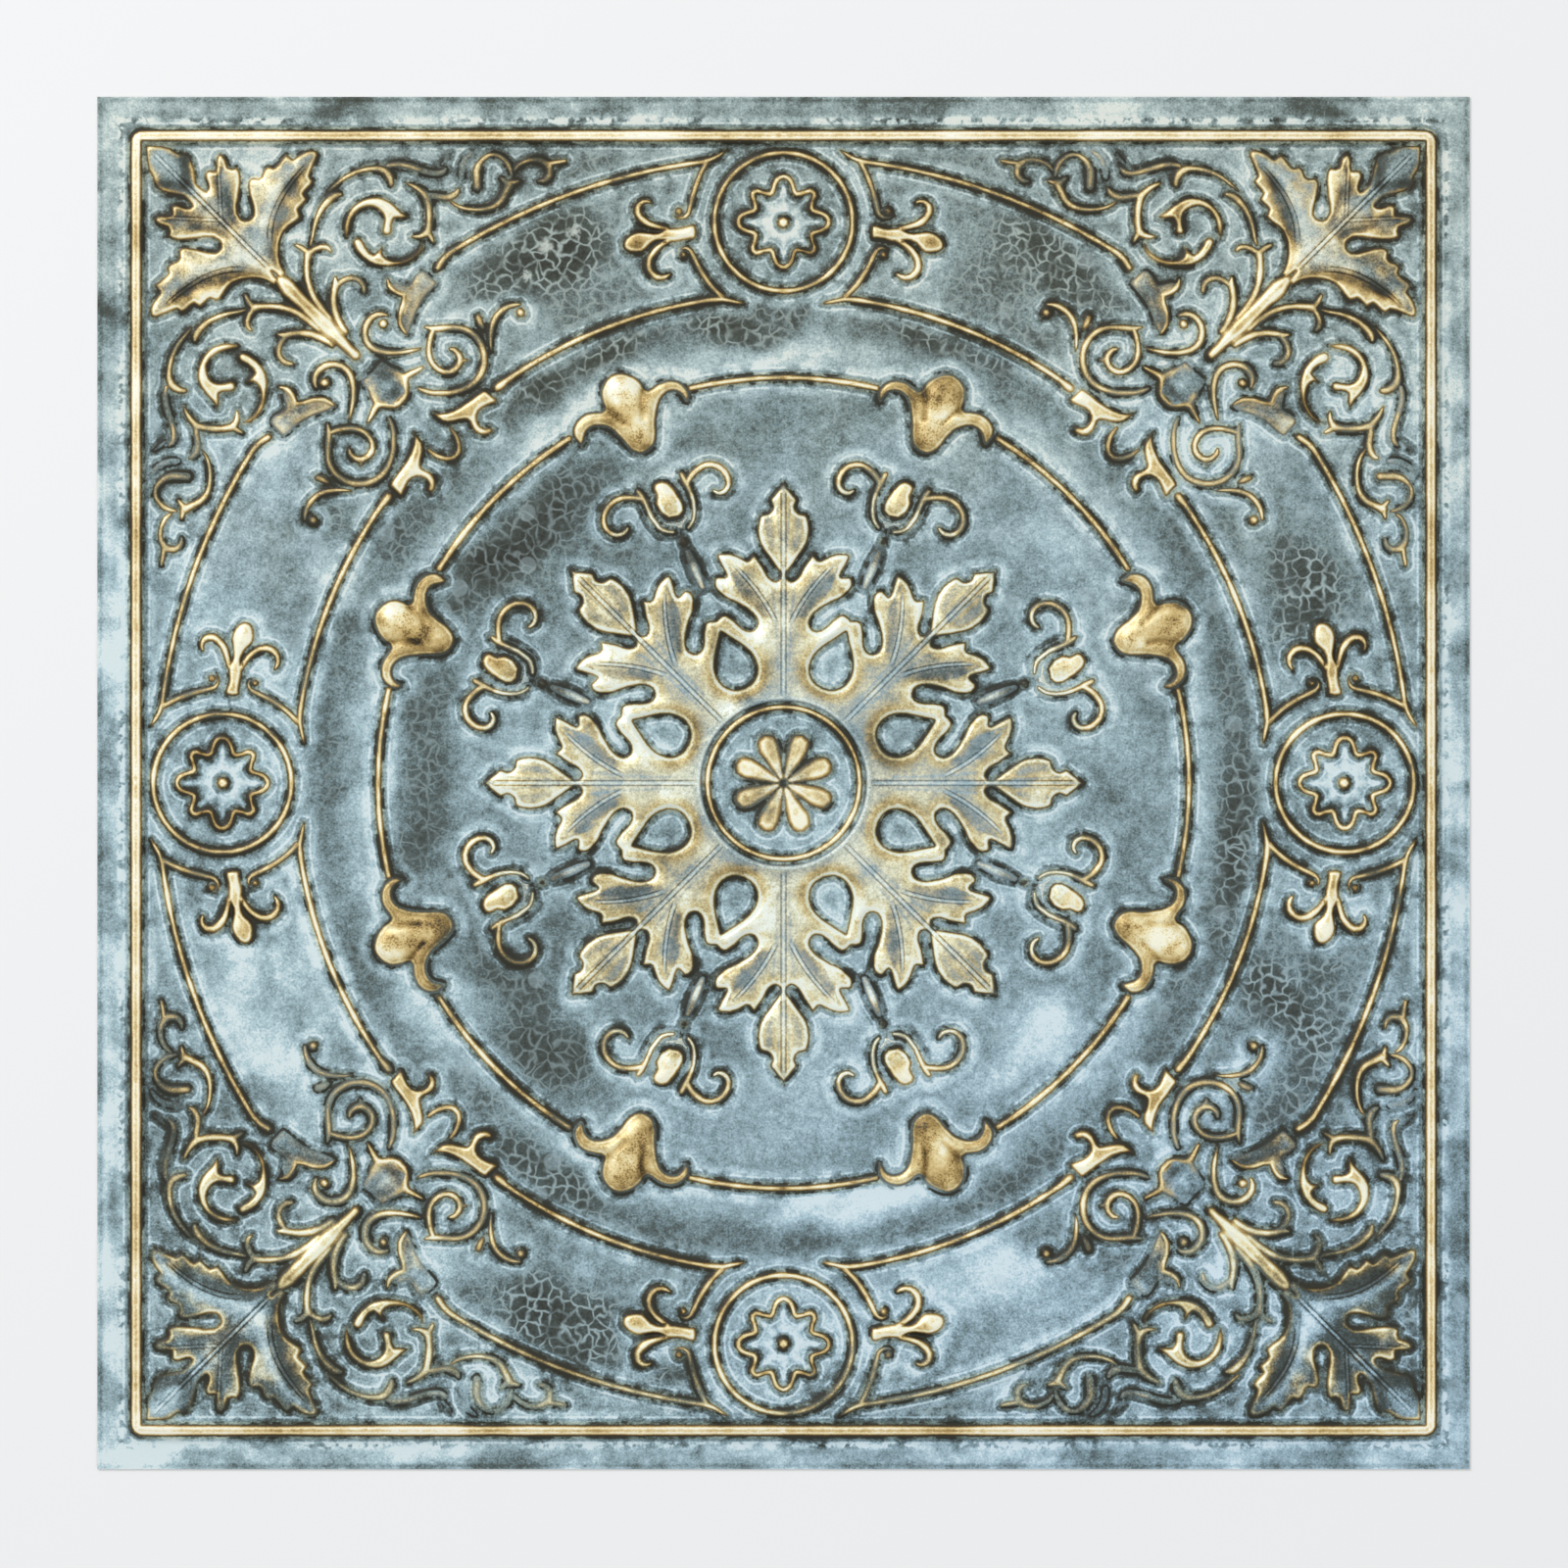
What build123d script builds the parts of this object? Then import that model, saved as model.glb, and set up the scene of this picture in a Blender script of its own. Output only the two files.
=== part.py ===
from build123d import *
import math
import os

# Embossed lay-in ceiling tile, thermoformed from one flat sheet.
# It lies face up: +Z is the decorated face that looks into the room, and Z = 0 is the plane
# that the underside of the flat margin rests on. The origin is the middle of that plane.
# All lengths are millimetres. Each raised feature is hollow from behind, one sheet thick.

SIDE = 603.0            # a 23 3/4 in square, for a 610 mm (24 in) ceiling grid
T = 0.7                 # sheet thickness
PX = SIDE / 1400.0      # the tile's side is 1400 pixels in the picture

# square roll moulding, set in from the edge by the flat margin
ROLL_MID = 660.0 * PX   # from the tile's centre line to the roll's crest
ROLL_W = 6.8
ROLL_Z = 4.9

# levels of the face
GROUND = 1.4            # panel inside the roll
COVE_FROM, COVE_TO = 181.0, 209.0     # radii of the cove that rises to the band
BAND_Z = 2.7            # edges of the raised band between the two rings
BAND_CROWN = 3.4        # top of the band
CROWN_FROM, CROWN_TO = 228.0, 258.0   # radii of the band's level top

# ring mouldings: radius of the crest, width, height of the crest
R_OUTER, W_OUTER, Z_OUTER = 638.5 * PX, 3.8, 4.3
R_INNER, W_INNER, Z_INNER = 498.0 * PX, 4.6, 4.6
R_FIELD, W_FIELD, Z_FIELD = 413.5 * PX, 5.2, 3.9
R_HUB, W_HUB, Z_HUB = 77.5 * PX, 3.2, 7.4
OUTER_FROM, OUTER_TO = 7.7, 32.8      # degrees from each axis: the arcs stop at the corner scrolls
INNER_FROM, INNER_TO = 5.8, 35.0

# roundels on the four axes
MED_MID = 572.0 * PX
MED_PLATE_R, MED_PLATE_Z = 34.0, 3.0
MED_RING_R, MED_RING_W, MED_RING_Z = 70.5 * PX, 3.4, 5.2
MED_PETAL_Z = 4.2
MED_BOSS_R, MED_BOSS_Z = 14.0 * PX, 5.0

# leaf rosette in the middle
ROSETTE_Z = 4.9
HUB_PLATE_Z = 5.6
HUB_FLOWER_Z = 6.8

# clasps on the field ring, at the odd multiples of 22.5 degrees
CLASP_Z = 6.4

# Outlines below are half outlines, in picture pixels: x along the feature's own axis, y across it.
LEAF = [
    (311, 0), (302, 6), (291, 11), (283, 7), (277, 17), (265, 26), (251, 30), (236, 25), (226, 18), (215, 12),
    (203, 10), (206, 18), (219, 21), (233, 27), (226, 36), (228, 46), (238, 56), (232, 67), (222, 62), (213, 60),
    (206, 66), (195, 68), (184, 58), (175, 49), (167, 38), (159, 31), (153, 35), (158, 43), (167, 52), (172, 60),
    (168, 66), (150, 61), (120, 49), (90, 37), (70, 29), (70, 0),
]
CLASP = [
    (459, 0), (458, 9), (450, 20), (434, 26), (418, 24), (408, 20), (403, 26), (408, 36), (409, 48), (402, 60),
    (390, 66), (381, 62), (388, 54), (391, 45), (388, 35), (378, 27), (368, 23), (358, 17), (352, 8), (351, 0),
]
PETAL = [(10, 0), (20, 5), (34, 9), (45, 8), (48, 0)]
HUB_PETAL = [(6, 0), (20, 6), (36, 11), (48, 10), (53, 4), (53.5, 0)]
# The hollow back of the leaf and the clasp is a plainer form, at least one sheet thickness inside the outline.
LEAF_BACK = [
    (305, 0), (286, 4), (273, 14), (258, 23), (250, 26), (237, 21), (214, 9), (197, 5), (198, 20), (218, 26),
    (222, 34), (219, 53), (206, 59), (190, 58), (172, 36), (156, 26), (148, 34), (158, 52), (150, 56),
    (121, 44), (92, 33), (60, 22), (60, 0),
]
CLASP_BACK = [
    (456, 0), (453, 8), (446, 17), (433, 22), (419, 20), (400, 15), (402, 30), (404, 47), (398, 58),
    (391, 58), (393, 46), (389, 32), (368, 19), (360, 14), (355, 7), (354, 0),
]
PETAL_BACK = [(14, 0), (20, 2.5), (34, 6.5), (43, 6), (46, 0)]
HUB_PETAL_BACK = [(8, 0), (20, 3), (36, 8.5), (47, 7.5), (51, 3), (51.5, 0)]


def outline(half, degrees, centre=(0.0, 0.0)):
    """Whole outline in mm from its half, turned about the origin of its own axis and moved to centre."""
    points = list(half) + [(x, -y) for x, y in reversed(half) if y > 1e-6]
    c, s = math.cos(math.radians(degrees)), math.sin(math.radians(degrees))
    return [((x * c - y * s) * PX + centre[0], (x * s + y * c) * PX + centre[1]) for x, y in points]


def ring(radius, width, high, start, arc):
    """Round-topped ring moulding, whole or part: a turned section with a straight foot."""
    a = width / 2
    with BuildPart() as bead:
        with BuildSketch(Plane.XZ):
            with BuildLine():
                Polyline((radius - a, high - 0.75 * a), (radius - a, -1), (radius + a, -1), (radius + a, high - 0.75 * a))
                ThreePointArc((radius + a, high - 0.75 * a), (radius, high), (radius - a, high - 0.75 * a))
            make_face()
        revolve(axis=Axis.Z, revolution_arc=arc)
    return bead.part.rotate(Axis.Z, start)


def plates(halves, degrees, high, centres=((0.0, 0.0),)):
    """Raised plates of one height: one outline at each angle about each centre."""
    with BuildPart() as p:
        with BuildSketch(Plane.XY.offset(-1)):
            for centre in centres:
                for angle in degrees:
                    with BuildLine():
                        Polyline(*outline(halves, angle, centre), close=True)
                    make_face()
        extrude(amount=1 + high)
    return p.part


def relief(t):
    """The solid under the face, set back by t: t = 0 is the face itself, t = T is its hollow back."""
    pieces = []
    corners = [45 * i for i in range(8)]
    odd = [22.5 + 45 * i for i in range(8)]
    mids = [(MED_MID, 0.0), (0.0, MED_MID), (-MED_MID, 0.0), (0.0, -MED_MID)]

    # square roll moulding, mitred at its corners
    a = ROLL_W / 2 - t
    top = ROLL_Z - t
    with BuildPart() as roll:
        with BuildSketch(Plane.XZ):
            with BuildLine():
                Polyline((ROLL_MID - a, top - 0.8 * a), (ROLL_MID - a, -1), (ROLL_MID + a, -1), (ROLL_MID + a, top - 0.8 * a))
                ThreePointArc((ROLL_MID + a, top - 0.8 * a), (ROLL_MID, top), (ROLL_MID - a, top - 0.8 * a))
            make_face()
        with BuildLine(mode=Mode.PRIVATE) as square:
            Polyline((ROLL_MID, 0), (ROLL_MID, ROLL_MID), (-ROLL_MID, ROLL_MID), (-ROLL_MID, -ROLL_MID),
                     (ROLL_MID, -ROLL_MID), close=True)
        sweep(path=square.wires()[0], transition=Transition.RIGHT)
    pieces.append(roll.part)

    # cove and raised band, turned about the tile's centre
    r_out = R_OUTER + 2.6 - t
    with BuildPart() as band:
        with BuildSketch(Plane.XZ):
            with BuildLine():
                Polyline((0, -1), (0, GROUND - t), (COVE_FROM, GROUND - t), (COVE_TO, BAND_Z - t), (CROWN_FROM, BAND_CROWN - t),
                         (CROWN_TO, BAND_CROWN - t), (r_out, BAND_Z - t), (r_out + 1.6, GROUND - t), (r_out + 1.6, -1), (0, -1))
            make_face()
        revolve(axis=Axis.Z, revolution_arc=360)
    pieces.append(band.part)

    # round plates: roundels, their bosses and the hub
    for radius, high, places in ((MED_PLATE_R, MED_PLATE_Z, mids), (MED_BOSS_R, MED_BOSS_Z, mids),
                                 (R_HUB, HUB_PLATE_Z, [(0, 0)])):
        with BuildPart() as disc:
            with BuildSketch(Plane.XY.offset(-1)):
                with Locations(*places):
                    Circle(radius - t)
            extrude(amount=1 + high - t)
        pieces.append(disc.part)

    # leaves, petals and clasps
    pieces.append(plates(LEAF_BACK if t else LEAF, corners, ROSETTE_Z - t))
    pieces.append(plates(HUB_PETAL_BACK if t else HUB_PETAL, odd, HUB_FLOWER_Z - t))
    pieces.append(plates(CLASP_BACK if t else CLASP, odd, CLASP_Z - t))
    pieces.append(plates(PETAL_BACK if t else PETAL, corners, MED_PETAL_Z - t, mids))

    # ring mouldings: whole about the middle and the roundels, in eight arcs each on the band
    pieces.append(ring(R_HUB, W_HUB - 2 * t, Z_HUB - t, 0, 360))
    pieces.append(ring(R_FIELD, W_FIELD - 2 * t, Z_FIELD - t, 0, 360))
    for x, y in mids:
        pieces.append(ring(MED_RING_R, MED_RING_W - 2 * t, MED_RING_Z - t, 0, 360).moved(Location((x, y, 0))))
    for i in range(4):
        for radius, width, high, start, end in ((R_INNER, W_INNER, Z_INNER, INNER_FROM, INNER_TO),
                                                (R_OUTER, W_OUTER, Z_OUTER, OUTER_FROM, OUTER_TO)):
            pieces.append(ring(radius, width - 2 * t, high - t, 90 * i + start, end - start))
            pieces.append(ring(radius, width - 2 * t, high - t, 90 * i - end, end - start))

    with BuildPart() as r:
        # panel inside the roll, and the flat margin round it
        with BuildSketch(Plane.XY.offset(-1)):
            Rectangle(2 * (ROLL_MID - t), 2 * (ROLL_MID - t))
        extrude(amount=1 + GROUND - t)
        if t == 0:
            with BuildSketch(Plane.XY.offset(-1)):
                Rectangle(SIDE, SIDE)
            extrude(amount=1 + T)
        add(pieces)
    return r.part


front = relief(0.0)
back = relief(T)

with BuildPart() as tile:
    add(front)
    add(back, mode=Mode.SUBTRACT)
    # everything under the resting plane is cut away
    with BuildSketch(Plane.XY):
        Rectangle(SIDE + 20, SIDE + 20)
    extrude(amount=-3, mode=Mode.SUBTRACT)

tile.part.label = "ceiling_tile"
os.makedirs("parts", exist_ok=True)
export_step(tile.part, "parts/ceiling_tile.step")
print("volume", tile.part.volume, "solids", len(tile.part.solids()), "box", tile.part.bounding_box().size)
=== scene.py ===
import bpy, math
import numpy as np
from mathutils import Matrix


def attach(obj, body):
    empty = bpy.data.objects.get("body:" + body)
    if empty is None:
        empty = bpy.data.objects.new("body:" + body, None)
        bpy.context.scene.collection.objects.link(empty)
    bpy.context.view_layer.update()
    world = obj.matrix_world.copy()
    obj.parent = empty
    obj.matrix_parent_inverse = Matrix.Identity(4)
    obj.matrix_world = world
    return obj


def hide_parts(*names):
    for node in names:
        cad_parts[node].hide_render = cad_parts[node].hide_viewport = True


# Embossed ceiling tile, thermoformed from one sheet, with an antiqued wash and rubbed gilding.
# The face is one closed mesh: the relief of one eighth is worked out from drawn outlines, thinned,
# and mirrored eight times. The finish is procedural; it follows the distance to the relief's
# outlines, which every point of the mesh carries.

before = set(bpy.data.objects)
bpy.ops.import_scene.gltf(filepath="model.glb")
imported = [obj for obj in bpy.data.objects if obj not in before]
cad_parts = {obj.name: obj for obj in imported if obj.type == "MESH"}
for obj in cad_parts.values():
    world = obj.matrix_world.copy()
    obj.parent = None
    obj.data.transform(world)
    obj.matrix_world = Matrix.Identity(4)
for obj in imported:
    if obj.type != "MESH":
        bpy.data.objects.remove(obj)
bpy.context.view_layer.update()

# ---------------------------------------------------------------------------------------------
# Ornament. Every outline is drawn for one eighth of the tile, in picture pixels: a runs sideways
# from the upright axis, b upwards from the centre, and b >= a. The other seven eighths are its
# mirror images.
# ---------------------------------------------------------------------------------------------
PX = 0.603 / 1400.0                 # metres in one picture pixel
CELLS = 840
STEP = 700.0 / CELLS                # spacing of the working grid, in picture pixels
PAD = 6                             # extra cells round the drawn eighth
REACH = 24.0                        # how far from an outline its distance is kept


def arc(r, f0, f1, n=24, w0=4.0, w1=None, c=(0.0, 0.0)):
    """Points of a circle from angle f0 to f1, measured from the b axis, with half-widths."""
    w1 = w0 if w1 is None else w1
    out = []
    for i in range(n + 1):
        s = i / n
        f = math.radians(f0 + (f1 - f0) * s)
        out.append((c[0] + r * math.sin(f), c[1] + r * math.cos(f), w0 + (w1 - w0) * s))
    return out


def smooth_line(pts, closed=False, spacing=3.0):
    """Catmull-Rom curve through the points; every column is interpolated."""
    p = np.array(pts, dtype=float)
    n = len(p)
    out = []
    last = n if closed else n - 1
    for i in range(last):
        p1, p2 = p[i % n], p[(i + 1) % n]
        p0 = p[(i - 1) % n] if (closed or i > 0) else 2 * p1 - p2
        p3 = p[(i + 2) % n] if (closed or i + 2 < n) else 2 * p2 - p1
        m = max(1, int(round(np.hypot(*(p2 - p1)[:2]) / spacing)))
        for k in range(m):
            t = k / m
            out.append(0.5 * ((2 * p1) + (p2 - p0) * t + (2 * p0 - 5 * p1 + 4 * p2 - p3) * t * t
                              + (3 * p1 - p0 - 3 * p2 + p3) * t ** 3))
    if not closed:
        out.append(p[-1])
    return np.array(out)


def S(pts, h=1.6, gold=0.85, body=1.0, smooth=True):
    """A rounded strand: points (a, b, half-width)."""
    return {"kind": "strand", "pts": pts, "h": h, "gold": gold, "body": body, "smooth": smooth}


def P(pts, h=2.4, gold=0.9, inner=0.0, soft=7.0, smooth=True):
    """A closed plate with rounded edges. inner turns the gold back to the wash away from its edge."""
    return {"kind": "plate", "pts": pts, "h": h, "gold": gold, "inner": inner, "soft": soft, "smooth": smooth}


FEATURES = []
GROOVES = []        # (points with half-widths, depth in mm, darkness)
SHADES = []         # (points with half-widths, lightness change): painted shade and highlight, and the dark glaze of the finish

# --- ring mouldings -------------------------------------------------------------------------
FEATURES += [
    S(arc(413.5, -1.0, 13.3, 12, 3.7), h=1.5, gold=0.80),
    S(arc(413.5, 31.9, 46.0, 12, 3.7), h=1.5, gold=0.80),
    S([(41, 489, 1.0), (51, 490.8, 2.2), (62, 493, 3.2), (74, 492.6, 3.6)] + arc(498, 10, 34.6, 30, 3.5, 3.7)
      + [(288, 405.5, 5.2), (292, 402.5, 5.0)], h=1.7, gold=0.80),
    S([(58, 645, 0.8), (64, 641, 1.8), (71, 636.8, 2.6)] + arc(638.5, 7.3, 31.6, 36, 3.3, 3.5)
      + [(341, 539.5, 4.0), (347, 533.5, 4.2), (351, 527.5, 4.6), (352.5, 525, 4.4)], h=1.6, gold=0.80),
    S(arc(77.5, -2, 47, 14, 3.2), h=1.9, gold=0.90),
    S(arc(70.5, -2, 182, 60, 3.8, c=(0.0, 572.0)), h=1.9, gold=0.84),
    # lines that lead from the rings to the curls beside the roundel
    S([(79, 632, 3.4), (84, 622, 3.3), (88.5, 611, 3.2), (92, 600, 3.1), (94.8, 589, 3.0), (97, 580.5, 2.4),
       (101.5, 576.8, 1.7), (107, 576.2, 1.3), (111.5, 578.6, 0.8)], h=1.5, gold=0.70),
    S([(62.5, 495.5, 3.4), (68, 500.5, 3.4), (75, 508, 3.4), (82, 518, 3.3), (88, 529, 3.2), (92.5, 538.5, 3.0),
       (96, 543.8, 2.2), (100.5, 545.2, 1.6), (105, 543.2, 1.0)], h=1.5, gold=0.72),
    P([(111, 582.5), (109.5, 586), (106.5, 587.2), (103.5, 586), (102, 582.8), (103.4, 579.6), (106.6, 578.4),
       (109.6, 579.4)], h=1.9, gold=0.85, soft=4.0),
    P([(106, 538.5), (104.6, 541.6), (101.8, 542.6), (99, 541.2), (97.8, 538), (99.2, 535), (102, 533.8),
       (104.8, 535.2)], h=1.9, gold=0.85, soft=4.0),
]

# --- fleur beside the roundel ---------------------------------------------------------------
FEATURES += [
    P([(90, 568.5), (95, 569), (103, 566.4), (112, 566), (120, 566.4), (126, 562.5), (132, 561.2), (140, 562),
       (148, 562.8), (156, 560.2), (162, 555), (164.5, 549.2), (163, 543.6), (157.5, 540.2), (149, 539.2), (142.6, 540.6),
       (138.4, 544.5), (134.5, 549), (128.5, 551.6), (121, 551.6), (112, 550.8), (103, 552.6), (95, 554), (90, 554.4),
       (88.2, 561)], h=2.8, gold=0.97, soft=7.0),
    S([(119, 564.5, 3.6), (128, 566.6, 4.0), (137.5, 569.8, 4.6), (144.5, 575, 5.0), (148.6, 581.5, 5.0),
       (148, 588, 4.6), (143.5, 592.2, 3.4), (138.5, 592.8, 2.2), (135.5, 591.6, 1.3)], h=2.2, gold=0.90),
    S([(117, 553.5, 3.8), (124, 549, 4.2), (131, 543, 4.4), (136, 535, 4.4), (137.5, 527, 4.6), (134.5, 519.5, 4.4),
       (128, 515.2, 3.8), (121, 515.4, 2.8), (116, 518.3, 1.4)], h=2.2, gold=0.88),
]
GROOVES += [
    ([(121, 563.2, 1.0), (128, 563, 1.8), (137, 563.6, 2.2), (146, 565.6, 2.4), (153, 568, 2.0)], 0.9, 0.55),
    ([(121, 552.4, 1.0), (127, 550.4, 1.8), (132.5, 546.6, 2.0), (137, 541.5, 1.8)], 0.8, 0.45),
]

# --- flower in the roundel ------------------------------------------------------------------
def rim_loop():
    """Closed crest line of the eight-petal flower about (0, 572)."""
    half = [(0, 46.4), (4.6, 44.8), (8.0, 40.6), (9.8, 34.8), (11.0, 30.6), (13.2, 28.4), (17.6, 28.6), (23, 30.6), (28, 31.9)]
    pts = []
    for k in range(4):
        f = math.radians(90 * k)
        q = half + [(y, x) for x, y in reversed(half)][:-1]
        for x, y in q:
            pts.append((x * math.cos(f) + y * math.sin(f), 572 + y * math.cos(f) - x * math.sin(f), 2.7))
    return pts


FEATURES += [
    dict(S(rim_loop(), h=1.5, gold=0.95), closed=True),
    P([(6.6 * math.sin(math.radians(30 * i)), 571.5 + 6.6 * math.cos(math.radians(30 * i))) for i in range(12)],
      h=1.9, gold=1.0, soft=4.0),
]
SHADES += [([(14 * math.sin(math.radians(30 * i)), 572 + 14 * math.cos(math.radians(30 * i)), 2.4) for i in range(13)], 0.22)]
# painted highlight down the middle of each petal of the roundel flower, and darker lines either side of it
for k in range(8):
    f = math.radians(45 * k)
    d = (math.sin(f), math.cos(f))
    SHADES.append(([(d[0] * 18, 572 + d[1] * 18, 4.0), (d[0] * 32, 572 + d[1] * 32, 3.0)], 0.42))
    for s in (-1, 1):
        g = math.radians(45 * k + 9 * s)
        SHADES.append(([(36 * math.sin(g), 572 + 36 * math.cos(g), 2.4), (24 * math.sin(g * 1.0), 572 + 24 * math.cos(g), 2.0)], -0.28))

# --- hub flower -----------------------------------------------------------------------------
for k in (-1, 0, 1):
    f = math.radians(22.5 + 45 * k)
    d = (math.sin(f), math.cos(f))
    FEATURES.append(S([(d[0] * r, d[1] * r, w) for r, w in ((5, 1.4), (12, 4.4), (20, 7.4), (30, 10.4), (38, 11.6), (42.6, 11.2))],
                      h=1.3, gold=0.62))
SHADES.append(([(0, 0, 1.6)], -0.3))

# --- clasp ----------------------------------------------------------------------------------
FEATURES.append(P(
    [(205.5, 342.5), (211, 347), (215.4, 355), (214.4, 364.5), (208.6, 373), (200, 378), (190.5, 379.6), (184.6, 380.6),
     (186.6, 390), (187.4, 400), (183.4, 409), (176.4, 416), (168, 419), (159.6, 418), (150, 413.4), (142.6, 407),
     (138.4, 401.6), (133, 405), (126, 409.6), (117, 412), (108, 411), (101, 406.8), (96, 400), (95, 392.4), (97.8, 386.4),
     (101.2, 388), (104.6, 394.6), (110.2, 398.2), (117, 397.6), (122.6, 393.6), (126.2, 387), (128.2, 377), (129, 366),
     (128.6, 355), (130, 345.5), (136, 338), (145, 334.2), (154, 336.6), (161.4, 343), (168.4, 352), (177, 359.6),
     (187.6, 362.6), (195.6, 361), (200.6, 356), (202, 349.5)],
    h=4.9, gold=1.0, soft=11.0))
GROOVES += [
    ([(187, 384.5, 2.2), (181, 382.2, 2.4), (174, 376.8, 2.2), (167, 370.4, 1.8), (163, 366.4, 1.0)], 1.6, 0.42),
    ([(141, 406, 2.0), (143.6, 398, 2.6), (144.8, 388, 2.6), (143.8, 378, 2.0), (142.8, 371.5, 1.0)], 1.7, 0.45),
]

# --- tulip ----------------------------------------------------------------------------------
FEATURES += [
    P([(149, 301.5), (144.5, 297.5), (139, 292.6), (133.6, 293.6), (130.5, 299.6), (126.5, 305.4), (121.5, 308), (116.4, 306),
       (112, 301.6), (109.6, 303.4), (107.4, 310), (104.6, 317.4), (100.6, 315.6), (97.4, 306), (93.8, 299), (90.4, 290), (88, 280),
       (88.6, 270), (93, 263.4), (99.5, 259.8), (106, 255.6), (113, 252.6), (121, 251.4), (128.6, 254), (135, 260.4), (140, 269),
       (144.4, 278.6), (149.4, 288)], h=1.7, gold=0.40, inner=0.72, soft=6.0),
    dict(P([(131.9, 304.6), (123.8, 308.4), (115.4, 304.6), (107.0, 294.1), (101.2, 282.4), (103.0, 273.6), (109.6, 269.6),
            (117.1, 269.0), (126.0, 275.1), (130.9, 284.6), (129.4, 291.9), (133.0, 298.3)],
           h=3.0, gold=0.98, soft=9.0), over=True),
    dict(S([(112, 256, 2.0), (119, 256.4, 2.2), (126, 260, 2.4), (132, 267, 2.4), (137, 276, 2.4), (140.6, 285, 2.8),
            (144.5, 292, 3.6), (148.2, 297, 2.6)], h=2.1, gold=0.62), over=True),
    S([(143.5, 289.5, 3.0), (150, 290.5, 3.6), (157, 291, 3.6), (165, 290.4, 3.8), (173, 287, 3.8), (179.5, 280.5, 3.8),
       (183.2, 272, 3.8), (182.6, 262.5, 3.6), (177.4, 255.4, 3.4), (169.6, 252.6, 3.0), (162.6, 254.6, 2.6),
       (158.6, 259.6, 1.6)], h=2.1, gold=0.66),
    dict(S([(97, 260.5, 1.8), (92.6, 267, 2.2), (90.8, 277, 2.4), (92, 289, 2.6), (95.8, 299, 3.2), (100, 307, 4.0),
            (104, 314.6, 3.0)], h=2.1, gold=0.62), over=True),
    S([(98.6, 305, 3.4), (94, 313.4, 3.8), (86.6, 320.6, 3.8), (78, 324.6, 3.8), (69, 323.8, 3.8), (61.4, 319, 3.8),
       (56.6, 311, 3.8), (56.2, 303, 3.6), (60, 297.4, 3.2), (66, 295.4, 2.6), (71, 297.8, 1.6)], h=2.1, gold=0.66),
    P([(104.4, 246.6), (102.6, 249), (99.8, 248.8), (98.4, 246.4), (99.2, 243.6), (101.8, 242.6), (104, 244)],
      h=1.5, gold=0.7, soft=4.0),
    S([(97.6, 235.5, 3.4), (94, 227, 5.2), (90, 217, 5.8), (86, 208, 5.0), (82.6, 199.5, 3.0)], h=1.7, gold=0.30),
]
SHADES += [
    ([(105.5, 231, 2.6), (100.6, 217, 3.0), (95, 204, 3.0)], -0.60),
    ([(90.4, 240, 2.6), (82.5, 226, 3.0), (77.5, 211, 3.0)], -0.60),
    ([(97.0, 233.0, 3.4), (94.6, 227.0, 3.4)], -0.55),
    ([(90.6, 217.0, 2.6), (87.0, 209.0, 2.6)], 0.35),
    ([(101.5, 246, 6.5)], -0.35),
    ([(62.0, 193.6, 2.6), (68.0, 191.0, 3.2), (73.0, 195.0, 2.6)], -0.85),
    ([(92.6, 180.9, 2.6), (86.4, 183.4, 3.2), (85.8, 189.6, 2.6)], -0.85),
    ([(77.5, 187, 4.6)], 0.40),
    ([(98, 240, 10.0), (88, 215, 10.0), (77, 188, 12.0)], -0.30),
    ([(117, 271.5, 3.0), (108, 272, 3.0)], -0.40),
    ([(112, 291, 3.4), (118, 283, 3.4), (122, 278, 3.0)], -0.16),
    ([(121, 300, 3.6)], 0.22),
    ([(95.4, 292, 1.6), (94.6, 278, 1.8), (98, 266, 1.6)], 0.35),
    ([(140, 283, 1.6), (134, 270, 1.8), (126, 261.5, 1.6)], 0.35),
    ([(77.5, 184, 6.0)], 0.25),
]

# dark glaze inside the curls and beside the sepals, the same on both sides of the tulip
for pts in ([(85.4, 262, 2.4), (83.6, 276, 2.6), (86.6, 290, 2.6), (90.6, 299, 2.4)],
            [(50.4, 297, 2.6), (56, 289.8, 3.2), (64.4, 288.6, 3.2), (71, 290.6, 2.4)],
            [(78, 318, 1.8), (68.5, 315.6, 2.2), (63.4, 309.6, 2.2)]):
    SHADES.append((pts, -0.50))
    SHADES.append(([((b - a) * 0.7071, (a + b) * 0.7071, w) for a, b, w in pts], -0.50))

# --- rosette: half leaf along its own axis, u outwards and v sideways ---------------------------
LEAF = [
    (306.6, 0), (302.6, 2.6), (299.8, 5.7), (293.4, 10.6), (288.5, 14.1), (281.5, 11.6), (275.4, 15.2), (272.6, 23.7),
    (261.6, 26.9), (252.8, 26.5), (243.2, 24), (231.9, 17), (221.3, 9.2), (212.6, 3.3), (206.2, 7.6), (210.4, 14.8),
    (220, 19.8), (229.6, 26.6), (233.4, 30.4), (227.7, 35.4), (228, 39.2), (231.9, 46.7), (234.4, 56.2), (232.4, 67.5),
    (222.7, 64.3), (214.2, 59.5), (210, 58.7), (210.4, 64), (209.3, 69.3), (200.8, 70.7), (191.6, 64.3), (187.2, 57.1),
    (183.1, 47.4), (176.1, 36.1), (169.4, 29.4), (162.6, 26.9), (156.3, 30.4), (155.6, 36.8), (159.8, 43.8), (166.5, 50.6),
    (171.8, 58.7), (170.4, 64.3), (166, 68.8),
]
HOLE = [(166, 0), (158.5, 5.2), (150, 11.2), (142, 16.2), (134, 19.6), (126, 20.6), (118, 19.2), (111.4, 15.0), (107, 8.6), (105.5, 0)]
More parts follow.
